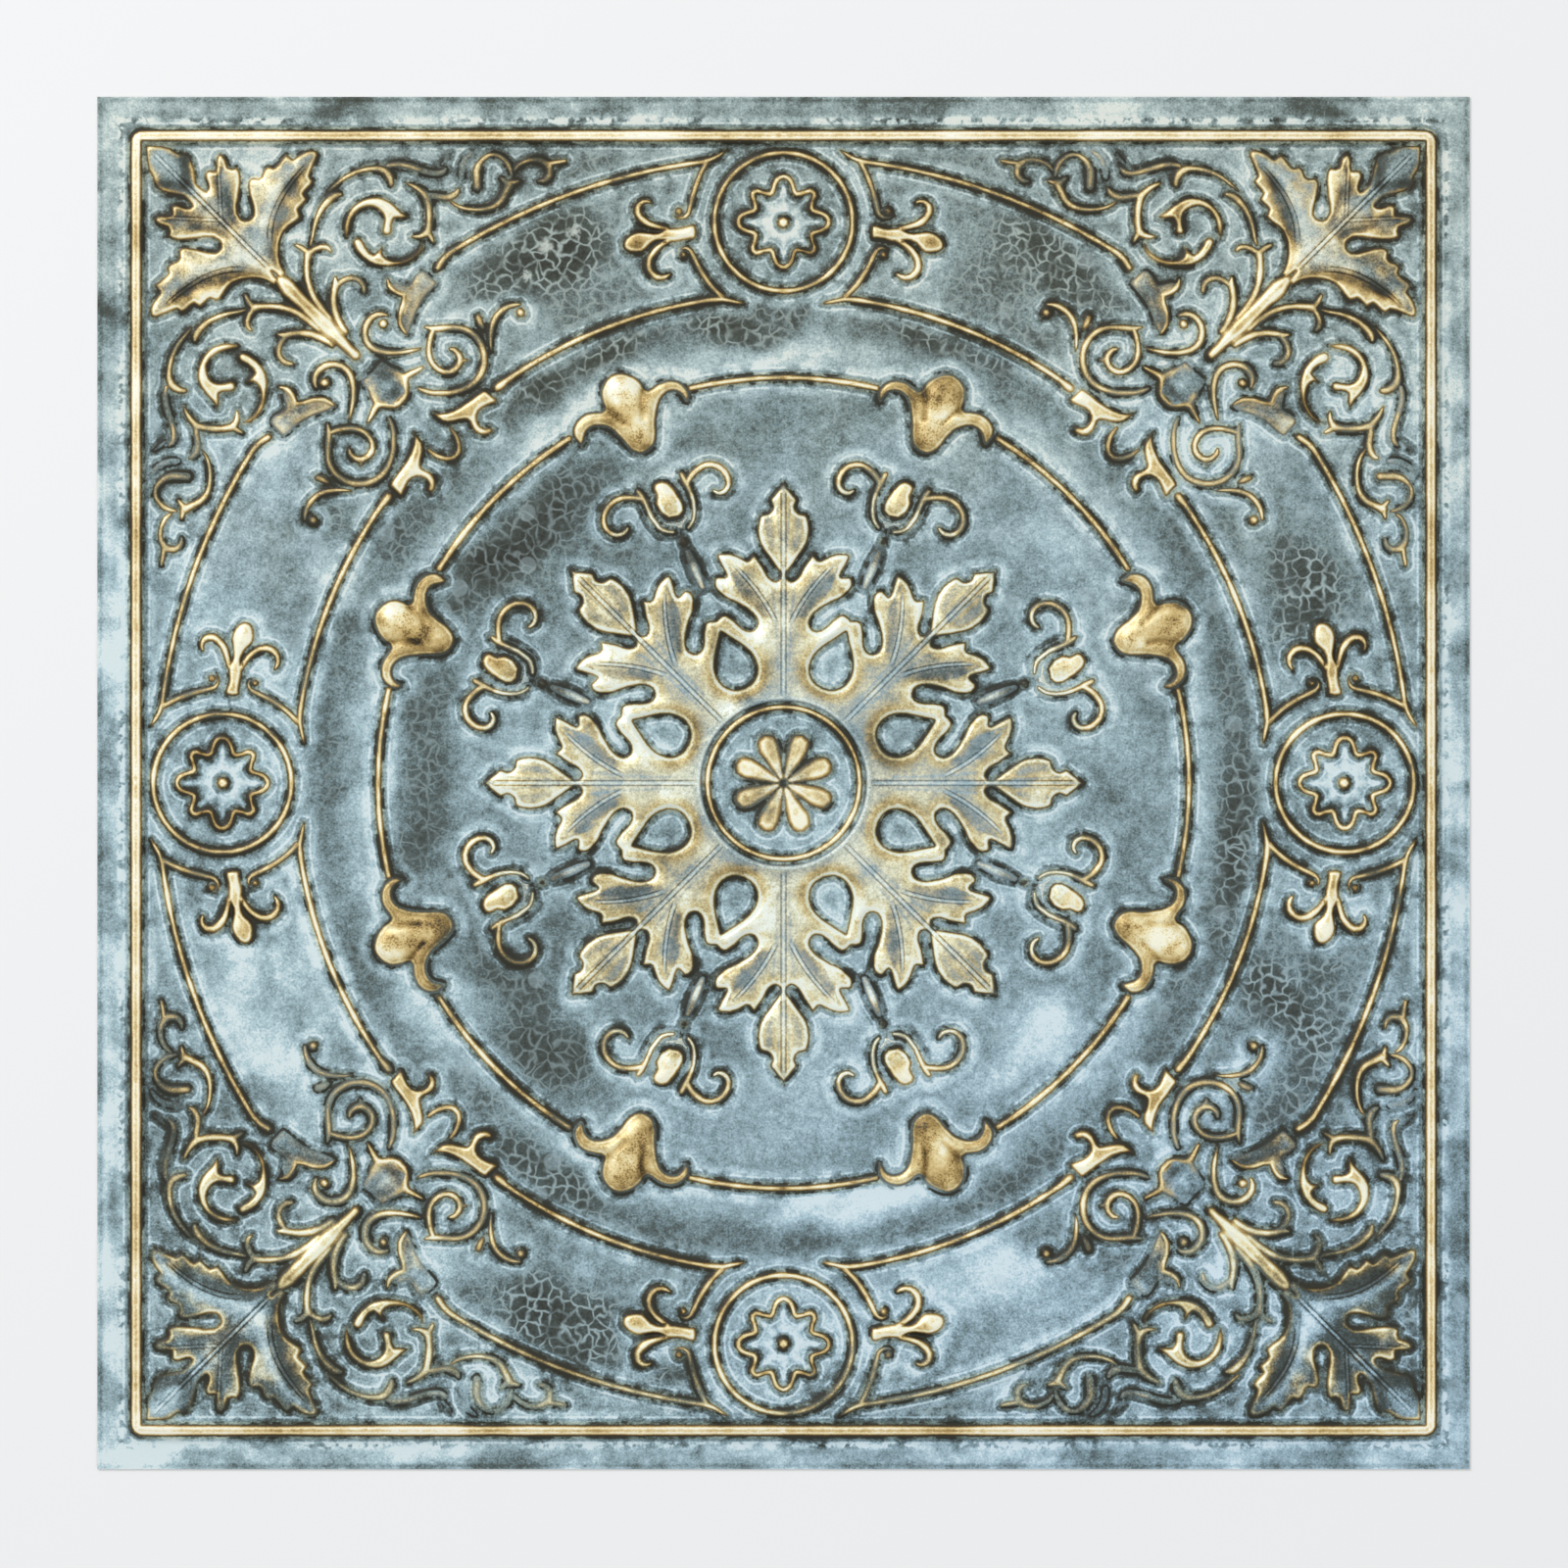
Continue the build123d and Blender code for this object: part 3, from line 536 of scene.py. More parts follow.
def relief_fields():
    """Height in mm and the finish maps on the working grid of one eighth (with a small overlap)."""
    n = CELLS + 1 + 2 * PAD
    ax = (np.arange(n) - PAD) * STEP
    A, B = np.meshgrid(ax, ax, indexing="ij")
    D = np.full(A.shape, REACH)             # distance to the nearest raised outline
    H = np.zeros(A.shape)                   # height of the ornament
    G = np.zeros(A.shape)                   # how much gilding that ornament keeps
    shade = np.zeros(A.shape)

    def put(d, f):
        nonlocal D, H, G, shade
        if f["kind"] == "strand":
            h = edge_profile(d, f["h"], 5.2)
            g = np.full(d.shape, f["gold"])
        else:
            h = edge_profile(d, f["h"], f["soft"])
            g = f["gold"] * (1 - f["inner"] * ramp(-d, 2.0, f.get("rim", 12.0)))
            if f["soft"] > 10:
                g = g * (0.45 + 0.55 * ramp(-d, 1.0, 8.0))
                # painted shade on the sloping edges of the clasps
                shade = shade - 0.40 * (1 - ramp(-d, 1.5, 12.0)) * ramp(-d, 0.0, 2.0)
        H = np.maximum(H, h)
        near = (d < 4.5) if f.get("over") else (d < D)
        G = np.where(near, g, G)
        D = np.where(near, d, D)

    for f in FEATURES:
        closed = f.get("closed", False)
        if f.get("diagonal"):
            half = np.array(f["pts"], dtype=float)
            whole = np.vstack([half, half[::-1][:, [1, 0]][1:-1]])
            put(plate_distance(smooth_line(whole, closed=True), A, B), f)
            continue
        for p in copies(f["pts"]):
            if f["kind"] == "strand":
                q = smooth_line(p, closed=closed) if f["smooth"] else p
                if closed:
                    q = np.vstack([q, q[:1]])
                put(line_distance(q, A, B, crest=True), f)
            else:
                put(plate_distance(smooth_line(p, closed=True), A, B), f)

    # rosette, in coordinates folded onto half a leaf
    R = np.hypot(A, B)
    phi = np.degrees(np.abs(np.arctan2(A, np.maximum(B, 1e-6))))
    phi = np.where(phi > 22.5, np.abs(45.0 - phi), phi)
    near = (R > 60) & (R < 345)
    r, ph = R[near], np.radians(phi[near])
    u, v = r * np.cos(ph), r * np.sin(ph)
    chain = smooth_line([(x, y, 0.0) for x, y in LEAF], spacing=2.5)
    dd = np.full(u.shape, 60.0)
    for q0, q1 in zip(chain[:-1], chain[1:]):
        dx, dy = q1[0] - q0[0], q1[1] - q0[1]
        t = np.clip(((u - q0[0]) * dx + (v - q0[1]) * dy) / (dx * dx + dy * dy + 1e-9), 0, 1)
        dd = np.minimum(dd, np.hypot(u - q0[0] - t * dx, v - q0[1] - t * dy))
    t22 = math.tan(math.radians(22.5))
    domain = np.vstack([chain[:, :2], [[60.0, 60.0 * t22 + 1.0]], [[60.0, -2.0]], [[306.6, -2.0]]])
    ins = np.zeros(u.shape, dtype=bool)
    nxt = np.roll(domain, -1, axis=0)
    vv = v + 1e-5
    for (xa, ya), (xb, yb) in zip(domain, nxt):
        if ya == yb:
            continue
        hit = (vv > min(ya, yb)) & (vv <= max(ya, yb))
        ins ^= hit & (u < xa + (vv - ya) * (xb - xa) / (yb - ya))
    uh, vh = r * np.cos(math.radians(22.5) - ph), r * np.sin(math.radians(22.5) - ph)
    edge = smooth_line([(x, y, 0.0) for x, y in HOLE], spacing=2.0)
    hole = np.full(u.shape, 60.0)
    for q0, q1 in zip(edge[:-1], edge[1:]):
        dx, dy = q1[0] - q0[0], q1[1] - q0[1]
        t = np.clip(((uh - q0[0]) * dx + (vh - q0[1]) * dy) / (dx * dx + dy * dy + 1e-9), 0, 1)
        hole = np.minimum(hole, np.hypot(uh - q0[0] - t * dx, vh - q0[1] - t * dy))
    wide = np.interp(uh, edge[::-1, 0], edge[::-1, 1], left=-1.0, right=-1.0)
    hole = np.where(vh < wide, -hole, hole)
    dr = np.where(ins, -dd, dd)
    dr = np.maximum(dr, -hole)
    dr = np.where(r < 82.4, 60.0, dr)           # the rosette runs out at the hub's ring
    h = edge_profile(dr, 3.2, 7.0) * ramp(r, 80.0, 90.0)
    h = h + 0.9 * np.exp(-((hole - 7.0) / 6.0) ** 2) * ramp(-dr, 0, 6) * (1 - ramp(r, 168, 182))
    h = h + 0.5 * ramp(-dr, 3, 16)
    # cupped lobes: the surface sinks a little between a lobe's rim and its vein
    h = h - 0.35 * np.exp(-((dr + 9.0) / 3.5) ** 2) * ramp(r, 120, 160)
    inner = ramp(-dr, 5.0, 17.0) * (1 - ramp(r, 228.0, 258.0))
    g = (0.86 - 0.42 * inner) * (0.55 + 0.45 * ramp(r, 86.0, 108.0))
    bronze = np.exp(-((hole - 8.0) / 6.0) ** 2) * (1 - ramp(r, 120, 156))
    g = np.maximum(g, 0.80 * bronze)
    Hn, Gn, Dn, Sn = H[near], G[near], D[near], shade[near]
    Hn = np.maximum(Hn, h)
    Gn = np.where(dr < Dn, g, Gn)
    Dn = np.minimum(Dn, dr)
    Sn = Sn - 0.42 * bronze * ramp(-dr, -1, 2)
    for pts, depth, dark in LEAF_VEINS:
        q = smooth_line(pts)
        e = np.full(u.shape, 30.0)
        for q0, q1 in zip(q[:-1], q[1:]):
            dx, dy = q1[0] - q0[0], q1[1] - q0[1]
            t = np.clip(((u - q0[0]) * dx + (v - q0[1]) * dy) / (dx * dx + dy * dy + 1e-9), 0, 1)
            e = np.minimum(e, np.hypot(u - q0[0] - t * dx, v - q0[1] - t * dy) / (q0[2] + (q1[2] - q0[2]) * t))
        k = np.exp(-0.5 * e ** 2)
        Hn = Hn - depth * k
        Sn = Sn - dark * k
        Gn = Gn * (1 - 0.6 * k)
    Dn = np.maximum(Dn, np.where(r > 80.0, 1.6 - np.abs(r - 82.6) * 1.3, -60.0))
    H[near], G[near], D[near], shade[near] = Hn, Gn, Dn, Sn

    # square roll moulding
    aA, aB = np.abs(A), np.abs(B)
    M = np.maximum(aA, aB)
    both = (aA > ROLL - 7) & (aB > ROLL - 7)
    q = np.hypot(np.maximum(aA - (ROLL - 7), 0), np.maximum(aB - (ROLL - 7), 0))
    dm = np.where(both, np.abs(q - 7.0), np.abs(M - ROLL)) - ROLL_HW
    t = np.clip((3.0 - dm) / (ROLL_HW + 3.0), 0, 1)
    h = 3.6 * np.sqrt(t * (2 - t))
    H = np.where(M > 640, np.maximum(H, h), H)
    G = np.where(dm < D, 0.99, G)
    D = np.minimum(D, dm)

    for pts, depth, dark in GROOVES:
        for p in copies(pts):
            q = smooth_line(p)
            e = line_distance(np.column_stack([q[:, :2], np.zeros(len(q))]), A, B)
            k = np.exp(-0.5 * (e / q[:, 2].mean()) ** 2)
            k[e >= REACH] = 0
            H = H - depth * k
            shade = shade - dark * k
    for pts, light in SHADES:
        for p in copies(pts):
            q = smooth_line(p) if len(p) > 1 else p
            e = line_distance(np.column_stack([q[:, :2], np.zeros(len(q))]), A, B)
            k = np.exp(-0.5 * (e / q[:, 2].mean()) ** 2)
            k[e >= REACH] = 0
            shade = shade + light * k

    for pts, more in GILDS:
        for p in copies(pts):
            q = smooth_line(p)
            e = line_distance(np.column_stack([q[:, :2], np.zeros(len(q))]), A, B)
            k = np.exp(-0.5 * (e / q[:, 2].mean()) ** 2)
            k[e >= REACH] = 0
            G = G + more * k * (D < 4)
    G = np.clip(G, 0.0, 1.0)

    Z = blur(base_height(A, B), 2.4) + np.maximum(H, -0.5)
    w = ramp(M, 668.0, 674.0)
    Z = Z * (1 - w) + 0.7 * w
    Z = np.maximum(blur(Z, 0.9), 0.7)
    Z = np.where(M > 676.0, 0.7, Z)
    return ax, A, B, Z, np.clip(D, -12.0, REACH), G, shade


def lowest_near(F, cells):
    """Smallest value within so many cells, the same along both directions."""
    out = F
    for axis in (0, 1):
        best = out.copy()
        for s in range(-cells, cells + 1):
            best = np.minimum(best, np.roll(out, s, axis=axis))
        out = best
    return out


def sample(F, a, b):
    """Bilinear reading of a working-grid map at picture-pixel positions."""
    fi, fj = a / STEP + PAD, b / STEP + PAD
    i = np.clip(np.floor(fi).astype(int), 0, F.shape[0] - 2)
    j = np.clip(np.floor(fj).astype(int), 0, F.shape[1] - 2)
    s, t = fi - i, fj - j
    return (F[i, j] * (1 - s) * (1 - t) + F[i + 1, j] * s * (1 - t) + F[i, j + 1] * (1 - s) * t + F[i + 1, j + 1] * s * t)


def thin_eighth(W, faces_wanted):
    """Triangles of the drawn eighth, thinned where the working surface W (mm) is plain."""
    c = CELLS + 1
    I, J = np.meshgrid(np.arange(c), np.arange(c), indexing="ij")
    keep = J >= I
    index = np.full((c, c), -1, dtype=np.int64)
    index[keep] = np.arange(keep.sum())
    co = np.column_stack([I[keep] * STEP, J[keep] * STEP, W[PAD:PAD + c, PAD:PAD + c][keep] / (PX * 1000)])
    i, j = np.meshgrid(np.arange(CELLS), np.arange(CELLS), indexing="ij")
    up = (j >= i)
    full = (j > i)
    t1 = np.column_stack([index[i[up], j[up]], index[i[up] + 1, j[up] + 1], index[i[up], j[up] + 1]])
    t2 = np.column_stack([index[i[full], j[full]], index[i[full] + 1, j[full]], index[i[full] + 1, j[full] + 1]])
    tris = np.vstack([t1, t2])
    mesh = bpy.data.meshes.new("eighth")
    mesh.vertices.add(len(co))
    mesh.vertices.foreach_set("co", co.astype(np.float32).ravel())
    mesh.loops.add(3 * len(tris))
    mesh.loops.foreach_set("vertex_index", tris.astype(np.int32).ravel())
    mesh.polygons.add(len(tris))
    mesh.polygons.foreach_set("loop_start", np.arange(0, 3 * len(tris), 3, dtype=np.int32))
    mesh.update(calc_edges=True)
    ob = bpy.data.objects.new("eighth", mesh)
    bpy.context.scene.collection.objects.link(ob)
    mod = ob.modifiers.new("thin", "DECIMATE")
    mod.ratio = faces_wanted / len(tris)
    mod.use_collapse_triangulate = True
    ev = ob.evaluated_get(bpy.context.evaluated_depsgraph_get())
    out = ev.to_mesh()
    nv = len(out.vertices)
    v = np.zeros(nv * 3, dtype=np.float32)
    out.vertices.foreach_get("co", v)
    v = v.reshape(-1, 3)[:, :2].astype(np.float64)
    out.calc_loop_triangles()
    f = np.zeros(len(out.loop_triangles) * 3, dtype=np.int32)
    out.loop_triangles.foreach_get("vertices", f)
    f = f.reshape(-1, 3)
    ev.to_mesh_clear()
    bpy.data.objects.remove(ob)
    bpy.data.meshes.remove(mesh)
    # points on the border go exactly onto it
    e = np.sort(np.vstack([f[:, [0, 1]], f[:, [1, 2]], f[:, [2, 0]]]), axis=1)
    pairs, count = np.unique(e, axis=0, return_counts=True)
    rim = np.unique(pairs[count == 1])
    a, b = v[rim, 0].copy(), v[rim, 1].copy()
    gaps = np.column_stack([np.abs(a), np.abs(b - a) * 0.7071, np.abs(700.0 - b)])
    side = gaps.argmin(axis=1)
    mid = 0.5 * (a + b)
    a2 = np.where(side == 0, 0.0, np.where(side == 1, mid, a))
    b2 = np.where(side == 0, b, np.where(side == 1, mid, 700.0))
    for k, (ca, cb) in enumerate(((0.0, 0.0), (0.0, 700.0), (700.0, 700.0))):
        m = np.hypot(a - ca, b - cb).argmin()
        a2[m], b2[m] = ca, cb
    v[rim, 0], v[rim, 1] = a2, b2
    # no triangle may turn over in plan: points of folded ones move towards the middle of their neighbours
    i, j = pairs[:, 0], pairs[:, 1]
    met = np.bincount(i, minlength=nv) + np.bincount(j, minlength=nv)
    held = np.zeros(nv, dtype=bool)
    held[rim] = True
    for turn in range(80):
        p = v[f]
        area = (p[:, 1, 0] - p[:, 0, 0]) * (p[:, 2, 1] - p[:, 0, 1]) - (p[:, 2, 0] - p[:, 0, 0]) * (p[:, 1, 1] - p[:, 0, 1])
        folded = area * np.sign(np.median(area)) < 0.004
        if not folded.any():
            break
        move = np.unique(f[folded])
        move = move[~held[move]]
        for k in (0, 1):
            mean = (np.bincount(i, v[j, k], nv) + np.bincount(j, v[i, k], nv)) / np.maximum(met, 1)
            v[move, k] += 0.5 * (mean[move] - v[move, k])
    print("folded triangles left:", int(folded.sum()), "after", turn)
    return v, f, area


def eight_fold(v, f, ccw):
    """All eight mirror images, joined along their shared borders. Returns plan positions, faces, and each point's source."""
    pts, fcs, src = [], [], []
    for swap in (False, True):
        for sx in (1, -1):
            for sy in (1, -1):
                a, b = v[:, 0], v[:, 1]
                x, y = (b, a) if swap else (a, b)
                pts.append(np.column_stack([sx * x, sy * y]))
                turned = (sx * sy < 0) != swap
                fcs.append((f[:, ::-1] if turned else f) + len(src) * len(v))
                src.append(np.arange(len(v)))
    pts, fcs, src = np.vstack(pts), np.vstack(fcs), np.concatenate(src)
    key = np.round(pts * 2000).astype(np.int64)
    _, first, inverse = np.unique(key, axis=0, return_index=True, return_inverse=True)
    inverse = inverse.ravel()
    fcs = inverse[fcs]
    good = (fcs[:, 0] != fcs[:, 1]) & (fcs[:, 1] != fcs[:, 2]) & (fcs[:, 2] != fcs[:, 0])
    return pts[first], fcs[good], src[first]


# ---------------------------------------------------------------------------------------------
# The sheet
# ---------------------------------------------------------------------------------------------
MM = 0.001


# soft clouds of the wash: x to the right and y up from the tile's middle in picture
# pixels, half-lengths along and across, turn in degrees, and strength (darker below zero)
CLOUDS = [
    # dark
    (-250, 540, 95, 40, 18, -0.95), (-270, 250, 88, 40, 38, -0.90), (-365, 10, 90, 32, 90, -0.70),
    (-260, -250, 95, 42, -60, -0.72), (-240, -540, 92, 40, -20, -0.90), (-200, 425, 82, 20, 28, -0.55),
    (-60, 468, 78, 17, 6, -0.60), (180, 450, 84, 22, -28, -0.55), (300, 520, 88, 42, -38, -0.75),
    (220, 460, 52, 25, -35, -0.35), (525, 200, 62, 42, -60, -0.75), (490, -200, 78, 32, 100, -0.72),
    (530, -260, 84, 46, 70, -0.25), (505, -330, 46, 36, 0, -0.22), (-240, -410, 88, 22, -42, -0.50),
    (-130, -465, 62, 15, -22, -0.45), (445, -60, 92, 22, 88, -0.45), (400, -180, 52, 18, 65, -0.45),
    (-450, 10, 62, 15, 90, -0.40), (-60, 360, 62, 26, 20, -0.36), (600, -520, 95, 95, 0, -0.38),
    (-410, 410, 26, 20, 0, -0.50), (-550, -125, 42, 18, 0, -0.40), (570, -20, 58, 46, 0, -0.30),
    (-575, 0, 48, 44, 0, -0.28), (120, 688, 95, 12, 0, -0.70), (540, 685, 150, 13, 0, -0.65),
    (-500, 685, 120, 12, 0, -0.45), (0, -652, 450, 9, 0, -0.30), (692, 580, 80, 12, 90, -0.60),
    (-125, -610, 32, 18, 0, -0.60), (0, 200, 36, 20, 0, -0.25), (640, 300, 60, 60, 0, -0.18),
    (-600, 470, 60, 50, 0, -0.22), (-560, -560, 70, 70, 0, -0.22), (330, 330, 60, 18, -45, -0.20),
    # light
    (-535, -250, 98, 38, -60, 0.72), (-480, -200, 52, 22, -62, 0.42), (255, -260, 78, 42, 50, 0.80),
    (205, -520, 52, 40, 0, 0.85), (290, -515, 62, 30, 10, 0.45), (80, -450, 92, 20, 10, 0.60),
    (0, -350, 100, 35, 0, 0.12), (-450, -180, 112, 14, -68, 0.50), (40, 442, 112, 14, -4, 0.42),
    (-250, 330, 90, 12, 38, 0.38), (-515, 310, 36, 52, 0, 0.42), (260, 260, 82, 30, -52, 0.28),
    (340, 60, 62, 26, 90, 0.22), (-688, 50, 180, 14, 90, 0.40), (-690, -560, 90, 14, 90, 0.60),
    (-610, -690, 130, 12, 0, 0.55), (672, 0, 300, 10, 90, 0.25), (480, -690, 200, 12, 0, 0.25),
    (-40, -690, 90, 12, 0, 0.30), (410, 420, 36, 36, 0, 0.34), (510, 610, 40, 40, 0, 0.36),
    (-560, 620, 50, 46, 0, 0.36), (-505, 560, 26, 36, 0, 0.45), (470, -480, 32, 30, 0, 0.38),
    (-370, -480, 62, 16, -15, 0.40), (-350, 190, 60, 20, 70, 0.20), (120, -420, 90, 14, 14, 0.25),
    (560, 420, 40, 14, -50, 0.45), (430, -330, 60, 12, 50, 0.30),
    # second pass
    (-685, 240, 110, 14, 90, 0.50), (-685, -350, 150, 14, 90, 0.60), (685, 60, 420, 14, 90, 0.28),
    (600, 330, 70, 110, 0, 0.25), (-560, 400, 80, 60, 0, -0.38), (-440, 210, 60, 40, 0, 0.50),
    (-310, -280, 50, 50, 0, -0.40), (-280, 690, 160, 12, 0, -0.40), (-300, -690, 140, 12, 0, -0.35),
    (190, -690, 60, 12, 0, 0.40), (250, -560, 40, 50, 0, 0.40), (385, -385, 36, 36, 0, 0.50),
    (455, 440, 36, 40, 0, 0.40), (450, 330, 70, 40, 0, 0.35), (525, -525, 40, 30, 0, 0.40),
    (450, -320, 90, 36, 20, 0.40), (-480, 300, 30, 60, 0, -0.20), (590, -120, 40, 90, 0, 0.25),
    (-240, 390, 50, 25, 0, -0.40), (390, 180, 55, 40, 0, -0.32), (315, -50, 50, 60, 0, -0.32),
    (215, 530, 50, 40, 0, -0.40), (630, -250, 50, 60, 0, 0.35), (560, -540, 50, 40, 0, 0.30),
    (420, 370, 50, 40, 0, 0.30), (600, -690, 100, 12, 0, -0.40), (-385, -690, 50, 12, 0, -0.50),
    (-385, 690, 40, 12, 0, -0.40), (-175, 690, 40, 12, 0, -0.40), (-690, -470, 50, 12, 90, 0.20),
]


def value_noise(x, y, cell, seed):
    """Smooth noise from -1 to 1 with features of about one cell."""
    table = np.random.RandomState(seed).uniform(-1, 1, (64, 64))
    u, v = x / cell + 200.37, y / cell + 200.81
    i, j = np.floor(u).astype(int), np.floor(v).astype(int)
    s, t = u - i, v - j
    s, t = s * s * (3 - 2 * s), t * t * (3 - 2 * t)
    i0, j0, i1, j1 = i % 64, j % 64, (i + 1) % 64, (j + 1) % 64
    return (table[i0, j0] * (1 - s) * (1 - t) + table[i1, j0] * s * (1 - t)
            + table[i0, j1] * (1 - s) * t + table[i1, j1] * s * t)


def cloud_cover(x, y):
    """Light and dark of the wash at a larger scale, at picture-pixel positions."""
    wx = x + 26 * value_noise(x, y, 90.0, 1) + 14 * value_noise(x, y, 40.0, 2)
    wy = y + 26 * value_noise(x, y, 90.0, 3) + 14 * value_noise(x, y, 40.0, 4)
    total = 0.20 * value_noise(x, y, 190.0, 5) + 0.20 * value_noise(x, y, 95.0, 6) + 0.17 * value_noise(x, y, 48.0, 7)
    for cx, cy, rx, ry, turn, s in CLOUDS:
        c, n = math.cos(math.radians(turn)), math.sin(math.radians(turn))
        u = ((wx - cx) * c + (wy - cy) * n) / rx
        v = (-(wx - cx) * n + (wy - cy) * c) / ry
        total = total + s * (1 - ramp(np.hypot(u, v), 0.35, 1.38))
    return total


def build_tile():
    ax, A, B, Z, D, G, shade = relief_fields()
    # the small waves keep enough points on the plain ground to carry the clouds of the wash
    waves = 0.045 * (np.sin(A * 2 * math.pi / 34.0) + np.sin(B * 2 * math.pi / 34.0))
    front_v, front_f, _ = thin_eighth(Z + 0.035 * D + 0.30 * shade + waves, 19600)
    # the hollow back follows the face one sheet behind it, and rests on z = 0
    back = np.maximum(lowest_near(Z, 2) - 0.62, 0.0)
    back = np.maximum(np.minimum(blur(back, 1.2), Z - 0.5), 0.0)
    back = np.where(np.maximum(A, B) > 664.0, 0.0, back)
    back_v, back_f, _ = thin_eighth(back, 4400)

    def maps(v, F, extra=()):
        a, b = v[:, 0], v[:, 1]
        gx = (sample(F, a + STEP, b) - sample(F, a - STEP, b)) / (2 * STEP * PX * 1000)
        gy = (sample(F, a, b + STEP) - sample(F, a, b - STEP)) / (2 * STEP * PX * 1000)
        return sample(F, a, b), gx, gy

    zf, gxf, gyf = maps(front_v, Z)
    zb, gxb, gyb = maps(back_v, back)
    df, gf, sf = (sample(F, front_v[:, 0], front_v[:, 1]) for F in (D, G, shade))

    def whole(v, f, z, gx, gy):
        pts, fcs, src = eight_fold(v, f, True)
        x, y = pts[:, 0], pts[:, 1]
        swapped = np.abs(x) > np.abs(y)
        ga, gb = gx[src], gy[src]
        nx = np.where(swapped, gb * np.sign(x), ga * np.sign(x))
        ny = np.where(swapped, ga * np.sign(y), gb * np.sign(y))
        n = np.column_stack([-nx, -ny, np.ones(len(x))])
        n /= np.linalg.norm(n, axis=1, keepdims=True)
        co = np.column_stack([x * PX, y * PX, z[src] * MM])
        return co, fcs, n, src

    cof, ff, nf, srcf = whole(front_v, front_f, zf, gxf, gyf)
    cob, fb, nb, _ = whole(back_v, back_f, zb, gxb, gyb)

    def upward(co, f):
        p = co[f]
        cross = (p[:, 1, 0] - p[:, 0, 0]) * (p[:, 2, 1] - p[:, 0, 1]) - (p[:, 2, 0] - p[:, 0, 0]) * (p[:, 1, 1] - p[:, 0, 1])
        return np.where((cross > 0)[:, None], f, f[:, ::-1])

    ff = upward(cof, ff)
    fb = upward(cob, fb)[:, ::-1]

    def rim_order(co):
        """Points of the outer edge, once round, starting at one corner."""
        half = 0.3015
        on = np.where(np.maximum(np.abs(co[:, 0]), np.abs(co[:, 1])) > half - 1e-7)[0]
        x, y = co[on, 0], co[on, 1]
        s = np.where(y <= -half + 1e-7, x + half,
                     np.where(x >= half - 1e-7, 2 * half + y + half,
                              np.where(y >= half - 1e-7, 4 * half + half - x, 6 * half + half - y)))
        s = np.where((x <= -half + 1e-7) & (y <= -half + 1e-7), 0.0, s)
        order = np.argsort(s)
        return on[order], s[order]

    rf, sfr = rim_order(cof)
    rb, sbr = rim_order(cob)
    nF = len(cof)
    wall = []
    total = 8 * 0.3015
    i = k = 0
    while i < len(rf) or k < len(rb):
        si = sfr[i + 1] if i + 1 < len(rf) else total
        sk = sbr[k + 1] if k + 1 < len(rb) else total
        top, bottom = rf[i % len(rf)], rb[k % len(rb)] + nF
        if i < len(rf) and (si <= sk or k >= len(rb)):
            wall.append((top, bottom, rf[(i + 1) % len(rf)]))
            i += 1
        else:
            wall.append((top, bottom, rb[(k + 1) % len(rb)] + nF))
            k += 1
    wall = np.array(wall)
    co = np.vstack([cof, cob])
    p = co[wall]
    n = np.cross(p[:, 1] - p[:, 0], p[:, 2] - p[:, 0])
    mid = p.mean(axis=1)
    inward = (n * mid).sum(axis=1) < 0
    wall = np.where(inward[:, None], wall[:, ::-1], wall)
    n = np.where(inward[:, None], -n, n)
    n /= np.maximum(np.linalg.norm(n, axis=1, keepdims=True), 1e-12)

    faces = np.vstack([ff, fb + nF, wall])
    loops = np.vstack([nf[ff].reshape(-1, 3), -nb[fb].reshape(-1, 3), np.repeat(n, 3, axis=0)])
    mesh = bpy.data.meshes.new("ceiling_tile_relief")
    mesh.vertices.add(len(co))
    mesh.vertices.foreach_set("co", co.astype(np.float32).ravel())
    mesh.loops.add(3 * len(faces))
    mesh.loops.foreach_set("vertex_index", faces.astype(np.int32).ravel())
    mesh.polygons.add(len(faces))
    mesh.polygons.foreach_set("loop_start", np.arange(0, 3 * len(faces), 3, dtype=np.int32))
    mesh.update(calc_edges=True)
    mesh.validate()
    mesh.polygons.foreach_set("use_smooth", np.ones(len(faces), dtype=bool))
    mat = np.ones(len(faces), dtype=np.int32)
    mat[:len(ff)] = 0
    mesh.polygons.foreach_set("material_index", mat)
    mesh.normals_split_custom_set([tuple(r) for r in loops])
    pad = np.zeros(len(cob))
    clouds = cloud_cover(cof[:, 0] / PX, cof[:, 1] / PX)
    for name, values in (("cloud", np.concatenate([clouds, pad])),
                         ("outline", np.concatenate([df[srcf], pad + REACH])),
                         ("gild", np.concatenate([gf[srcf], pad])),
                         ("tone", np.concatenate([sf[srcf], pad]))):
        at = mesh.attributes.new(name, "FLOAT", "POINT")
        at.data.foreach_set("value", values.astype(np.float32))
    ob = bpy.data.objects.new("ceiling_tile_relief", mesh)
    bpy.context.scene.collection.objects.link(ob)
    print("tile:", len(co), "points", len(faces), "triangles", "rim", len(rf), len(rb))
    return ob


tile = build_tile()


# ---------------------------------------------------------------------------------------------
# Finish
# ---------------------------------------------------------------------------------------------
def rgb(r, g, b):
    """Colour given as 0-255 display values, for a shader socket."""
    def lin(c):
        c = c / 255.0
        return c / 12.92 if c <= 0.04045 else ((c + 0.055) / 1.055) ** 2.4
    return (lin(r), lin(g), lin(b), 1.0)


